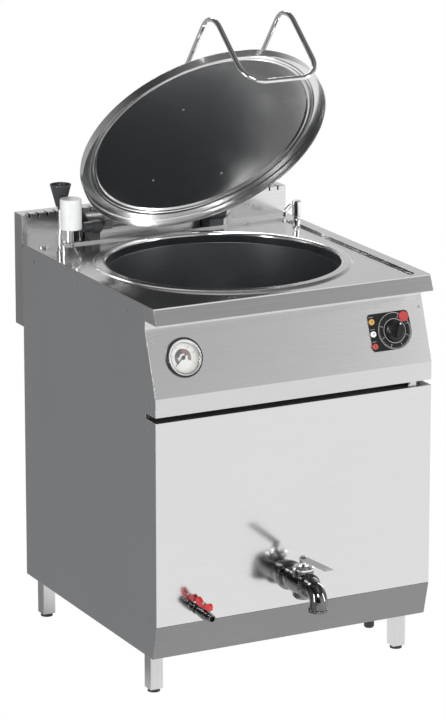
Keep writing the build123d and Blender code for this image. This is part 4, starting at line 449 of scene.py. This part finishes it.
# ---------------------------------------------------------------- gauge face
gauge = slope_frame(84.3, 84.4)
TOP = -4.7
bm = bmesh.new()
sector(bm, 13.5, 21.0, 222, 172, TOP, TOP + 0.08, 0)
sector(bm, 9.5, 21.0, 172, 98, TOP, TOP + 0.08, 1)
sector(bm, 9.0, 20.0, 98, 28, TOP, TOP + 0.08, 2)
sector(bm, 11.0, 19.5, 28, -26, TOP, TOP + 0.08, 3)
made("gauge_scale_band", bm, gauge, [M["ink_slate"], M["ink_black"], M["ink_maroon"], M["ink_brown"]], "cabinet")
bm = bmesh.new()
for i in range(51):
    a = 220 - 5 * i
    long = i % 5 == 0
    bar(bm, a, 30.2 if long else 31.8, 33.6, 0.7 if long else 0.35, TOP, TOP + 0.08)
sector(bm, 33.5, 34.0, 222, -32, TOP, TOP + 0.08)
made("gauge_scale_ticks", bm, gauge, M["ink_grey"], "cabinet")
labels = []
for i, text in enumerate(("0", "0.2", "0.4", "0.6", "0.8", "1")):
    a = math.radians(220 - 50 * i)
    labels.append((text, 26.3 * math.cos(a), 26.3 * math.sin(a), 0))
numerals("gauge_numerals", labels, 5.0, TOP, TOP + 0.08, gauge, M["ink_grey"], "cabinet")
bm = bmesh.new()
bar(bm, 56, 21.5, 31.5, 1.1, TOP + 0.09, TOP + 0.2)
made("gauge_limit_mark", bm, gauge, M["ink_red"], "cabinet")

# ---------------------------------------------------------------- selector dial
knob = slope_frame(616.3, 80.4)
bm = bmesh.new()
sector(bm, 28.4, 41.6, 0, 360, 2.1, 2.35, 0, 3.0)
made("dial_ring", bm, knob, M["plate_black"], "cabinet")
bm = bmesh.new()
sector(bm, 41.0, 41.9, 0, 360, 2.12, 2.5, 0, 3.0)
# The inner ring at r 27-28.1 is a painted highlight of the knob's skirt; the outer ring at r 41-41.9 is print.
sector(bm, 27.0, 28.1, 0, 360, 2.12, 2.9, 0, 3.0)
made("dial_print_ring_and_skirt_highlight", bm, knob, M["ink_light"], "cabinet")
bm = bmesh.new()
for i in range(55):
    a = 68 - 5 * i
    if 47 - 20 < (a % 360) < 47 + 20:
        continue
    bar(bm, a, 37.6 if i % 9 else 36.6, 40.2, 0.55 if i % 9 else 1.1, 2.35, 2.45)
made("dial_ticks", bm, knob, M["ink_light"], "cabinet")
labels = []
for i in range(7):
    a = 68 - 45 * i
    labels.append((str(i), 32.8 * math.cos(math.radians(a)), 32.8 * math.sin(math.radians(a)), a - 90))
numerals("dial_numerals", labels, 6.4, 2.35, 2.45, knob, M["ink_light"], "cabinet")
bm = bmesh.new()
c68, s68 = math.cos(math.radians(68)), math.sin(math.radians(68))
lathe(bm, [(0, 24.7), (1.9, 24.7), (1.9, 25.0), (1.3, 25.35), (0, 25.45)], 20, (14.3 * c68, 14.3 * s68))
made("knob_mark", bm, knob, M["ink_white"], "selector_knob", True)

# Lamp eyes: a small darker button in the middle of each lens, and a plain rule above each.
for key, ds, col in (("amber", 28.0, ((0.34, 0.20, 0.03), (0.46, 0.28, 0.06))), ("clear", 0.0, ((0.36, 0.40, 0.37), (0.48, 0.52, 0.48))), ("red", -28.0, ((0.22, 0.02, 0.02), (0.32, 0.04, 0.04)))):
    where = slope_frame(560.4, 78.5 + ds)
    bm = bmesh.new()
    lathe(bm, [(0, 4.6), (2.7, 4.6), (2.7, 5.5), (2.0, 6.1), (0, 6.3)], 20)
    made("lamp_eye_" + key, bm, where, plastic("lamp_eye_" + key, col[0], col[1], (0.15, 0.25), 400, 0.04, 0.4), "cabinet", True)
    bm = bmesh.new()
    prism(bm, [(-5.5, 10.0), (5.5, 10.6), (5.5, 11.5), (-5.5, 10.9)], 2.1, 2.18)
    made("lamp_rule_" + key, bm, where, M["ink_light"], "cabinet")


# ---------------------------------------------------------------- screws and rivets
def pan_head(bm, r, h, cross=True, sink=0.25):
    """Low domed head with a cross recess cut as four petals."""
    prof = [(0, -sink), (r, -sink), (r, h * 0.35), (r * 0.86, h * 0.75), (r * 0.6, h * 0.95)]
    if cross:
        lathe(bm, prof + [(r * 0.5, h), (r * 0.42, h * 0.35), (0, h * 0.3)], 24)
    else:
        lathe(bm, prof + [(0, h)], 24)


def basis(point, normal, up=(0, 0, 1)):
    z = Vector(normal).normalized()
    x = Vector(up).cross(z)
    if x.length < 1e-4:
        x = Vector((1, 0, 0))
    x.normalize()
    y = z.cross(x)
    m = Matrix((x, y, z)).transposed().to_4x4()
    m.translation = Vector(point)
    return m


for k, (x, s) in enumerate(((10.0, 128.0), (690.0, 128.0))):
    bm = bmesh.new()
    pan_head(bm, 3.2, 1.5)
    made("control_screw_%d" % k, bm, slope_frame(x, s), M["screw_steel"], "cabinet", True)

# Small rivet heads inside the lid's dome: (x, y) with the lid shut, mm from the cabinet's front left.
LC, LS = math.cos(math.radians(51.5)), math.sin(math.radians(51.5))


def lid_frame(x, y, z, normal):
    """Frame at a point of the shut lid, carried to where the open lid is."""
    dy, dz = y - 657.0, z - 944.5
    p = Vector((x - 350.0, 378.0 + dy * LC + dz * LS, 944.5 - dy * LS + dz * LC)) * MM
    n = Vector(normal)
    return basis(p, (n.x, n.y * LC + n.z * LS, -n.y * LS + n.z * LC), (1, 0, 0))


LID_RIVETS = ((283.9, 272.4), (277.3, 513.7), (454.3, 511.6))
RHO = (259.0 ** 2 + 24.8 ** 2) / (2 * 24.8)
for k, (x, y) in enumerate(LID_RIVETS):
    r2 = (x - 347.0) ** 2 + (y - 348.0) ** 2
    zc = 932.2 + 28.0 - RHO
    z = zc + math.sqrt(RHO ** 2 - r2)
    inward = (Vector((347.0, 348.0, zc)) - Vector((x, y, z))).normalized()
    bm = bmesh.new()
    pan_head(bm, 3.0, 1.3, cross=False, sink=0.4)
    made("lid_rivet_%d" % k, bm, lid_frame(x, y, z, inward), M["screw_steel"], "lid", True)

# ---------------------------------------------------------------- studio
def emitter(name, build):
    m = bpy.data.materials.new(name)
    m.use_nodes = True
    nt = m.node_tree
    nt.nodes.clear()
    out = nt.nodes.new("ShaderNodeOutputMaterial")
    em = nt.nodes.new("ShaderNodeEmission")
    nt.links.new(em.outputs[0], out.inputs[0])
    build(nt, em)
    m.cycles.emission_sampling = "NONE"
    return m


def plane(name, size, z, mat):
    me = bpy.data.meshes.new(name)
    me.from_pydata([(-size, -size, z), (size, -size, z), (size, size, z), (-size, size, z)], [], [(0, 1, 2, 3)])
    me.materials.append(mat)
    ob = bpy.data.objects.new(name, me)
    scene.collection.objects.link(ob)
    return ob


def plain_white(nt, em):
    em.inputs["Color"].default_value = (1, 1, 1, 1)
    em.inputs["Strength"].default_value = 1.0


floor = plane("studio_floor", 40.0, -0.0005, emitter("studio_floor", plain_white))
for attr in ("visible_diffuse", "visible_glossy", "visible_transmission", "visible_shadow", "visible_volume_scatter"):
    setattr(floor, attr, False)


def nmath(nt, op, a, b=0.0, clamp=False):
    m = nt.nodes.new("ShaderNodeMath")
    m.operation = op
    m.use_clamp = clamp
    for k, v in enumerate((a, b)):
        if isinstance(v, bpy.types.NodeSocket):
            nt.links.new(v, m.inputs[k])
        else:
            m.inputs[k].default_value = v
    return m.outputs[0]


def floor_glow(nt, em):
    """Light bounced by the floor: bright in front and right, falling off to the left rear."""
    tc = nt.nodes.new("ShaderNodeTexCoord")
    sp = nt.nodes.new("ShaderNodeSeparateXYZ")
    nt.links.new(tc.outputs["Object"], sp.inputs[0])
    x, y = sp.outputs[0], sp.outputs[1]
    g = nmath(nt, "DIVIDE", nmath(nt, "SUBTRACT", nmath(nt, "SUBTRACT", nmath(nt, "MULTIPLY", y, 0.25), x), 0.27), 0.16, True)
    side = nmath(nt, "SUBTRACT", 1.0, nmath(nt, "MULTIPLY", g, 0.58))
    nt.links.new(side, em.inputs["Strength"])
    em.inputs["Color"].default_value = (1, 1, 1, 1)


glow = plane("studio_bounce", 40.0, -0.001, emitter("studio_bounce", floor_glow))
glow.visible_camera = False
glow.visible_shadow = False


def dome_light(nt, em):
    tc = nt.nodes.new("ShaderNodeTexCoord")
    sp = nt.nodes.new("ShaderNodeSeparateXYZ")
    nt.links.new(tc.outputs["Object"], sp.inputs[0])
    r = nt.nodes.new("ShaderNodeValToRGB")
    stops = [(0.0, 1.0), (0.02, 0.97), (0.14, 0.86), (0.32, 0.66), (0.46, 0.46), (0.66, 0.14), (1.0, 0.18)]
    while len(r.color_ramp.elements) < len(stops):
        r.color_ramp.elements.new(0.5)
    for e, (at, c) in zip(r.color_ramp.elements, stops):
        e.position = at
        e.color = (c, c, c, 1)
    nt.links.new(nmath(nt, "DIVIDE", sp.outputs[2], 12.0, True), r.inputs[0])
    left = nmath(nt, "DIVIDE", nmath(nt, "SUBTRACT", nmath(nt, "SUBTRACT", nmath(nt, "MULTIPLY", sp.outputs[1], 0.25), sp.outputs[0]), 1.5), 5.0, True)
    nt.links.new(r.outputs[0], em.inputs["Color"])
    flag = nmath(nt, "ADD", nmath(nt, "MULTIPLY", sp.outputs[0], -0.459 / 12.0), nmath(nt, "MULTIPLY", sp.outputs[1], -0.888 / 12.0))
    flag = nmath(nt, "DIVIDE", nmath(nt, "SUBTRACT", flag, 0.84), 0.08, True)     # a black flag in front, left of the middle
    far = nmath(nt, "DIVIDE", nmath(nt, "SUBTRACT", nmath(nt, "MULTIPLY", sp.outputs[0], 1 / 12.0), 0.93), 0.04, True)   # and one on the right
    dark = nmath(nt, "MULTIPLY", nmath(nt, "SUBTRACT", 1.0, nmath(nt, "MULTIPLY", flag, 0.93)), nmath(nt, "SUBTRACT", 1.0, nmath(nt, "MULTIPLY", far, 0.8)))
    nt.links.new(nmath(nt, "MULTIPLY", dark, nmath(nt, "SUBTRACT", 1.0, nmath(nt, "MULTIPLY", left, 0.68))), em.inputs["Strength"])


bm = bmesh.new()
bmesh.ops.create_uvsphere(bm, u_segments=48, v_segments=24, radius=12.0)
me = bpy.data.meshes.new("studio_dome")
bm.to_mesh(me)
bm.free()
me.materials.append(emitter("studio_dome", dome_light))
dome = bpy.data.objects.new("studio_dome", me)
scene.collection.objects.link(dome)
dome.visible_camera = False
dome.visible_shadow = False

world = bpy.data.worlds.new("studio")
scene.world = world
world.use_nodes = True
world.node_tree.nodes["Background"].inputs[0].default_value = (1, 1, 1, 1)
world.node_tree.nodes["Background"].inputs[1].default_value = 1.0


def softbox(name, at, look, width, height, watts):
    li = bpy.data.lights.new(name, "AREA")
    li.shape = "RECTANGLE"
    li.size, li.size_y = width, height
    li.energy = watts
    ob = bpy.data.objects.new(name, li)
    ob.location = at
    ob.rotation_euler = (Vector(look) - Vector(at)).to_track_quat("-Z", "Y").to_euler()
    ob.visible_camera = False
    scene.collection.objects.link(ob)
    return ob


softbox("key", (-1.6, -4.2, 3.6), (0, 0, 0.8), 1.4, 1.4, 70)
softbox("strip_left", (-3.0, -0.9, 0.9), (0, 0, 0.6), 0.45, 1.8, 26)
fill = softbox("fill", (-3.4, -4.4, 2.6), (0, 0, 0.8), 3.0, 3.0, 190)
fill.visible_glossy = False
softbox("strip_right", (2.6, -2.2, 1.3), (0, 0, 0.7), 0.5, 2.2, 30)
softbox("top_back", (0.6, 2.6, 3.2), (0, 0, 0.9), 2.2, 0.8, 35)
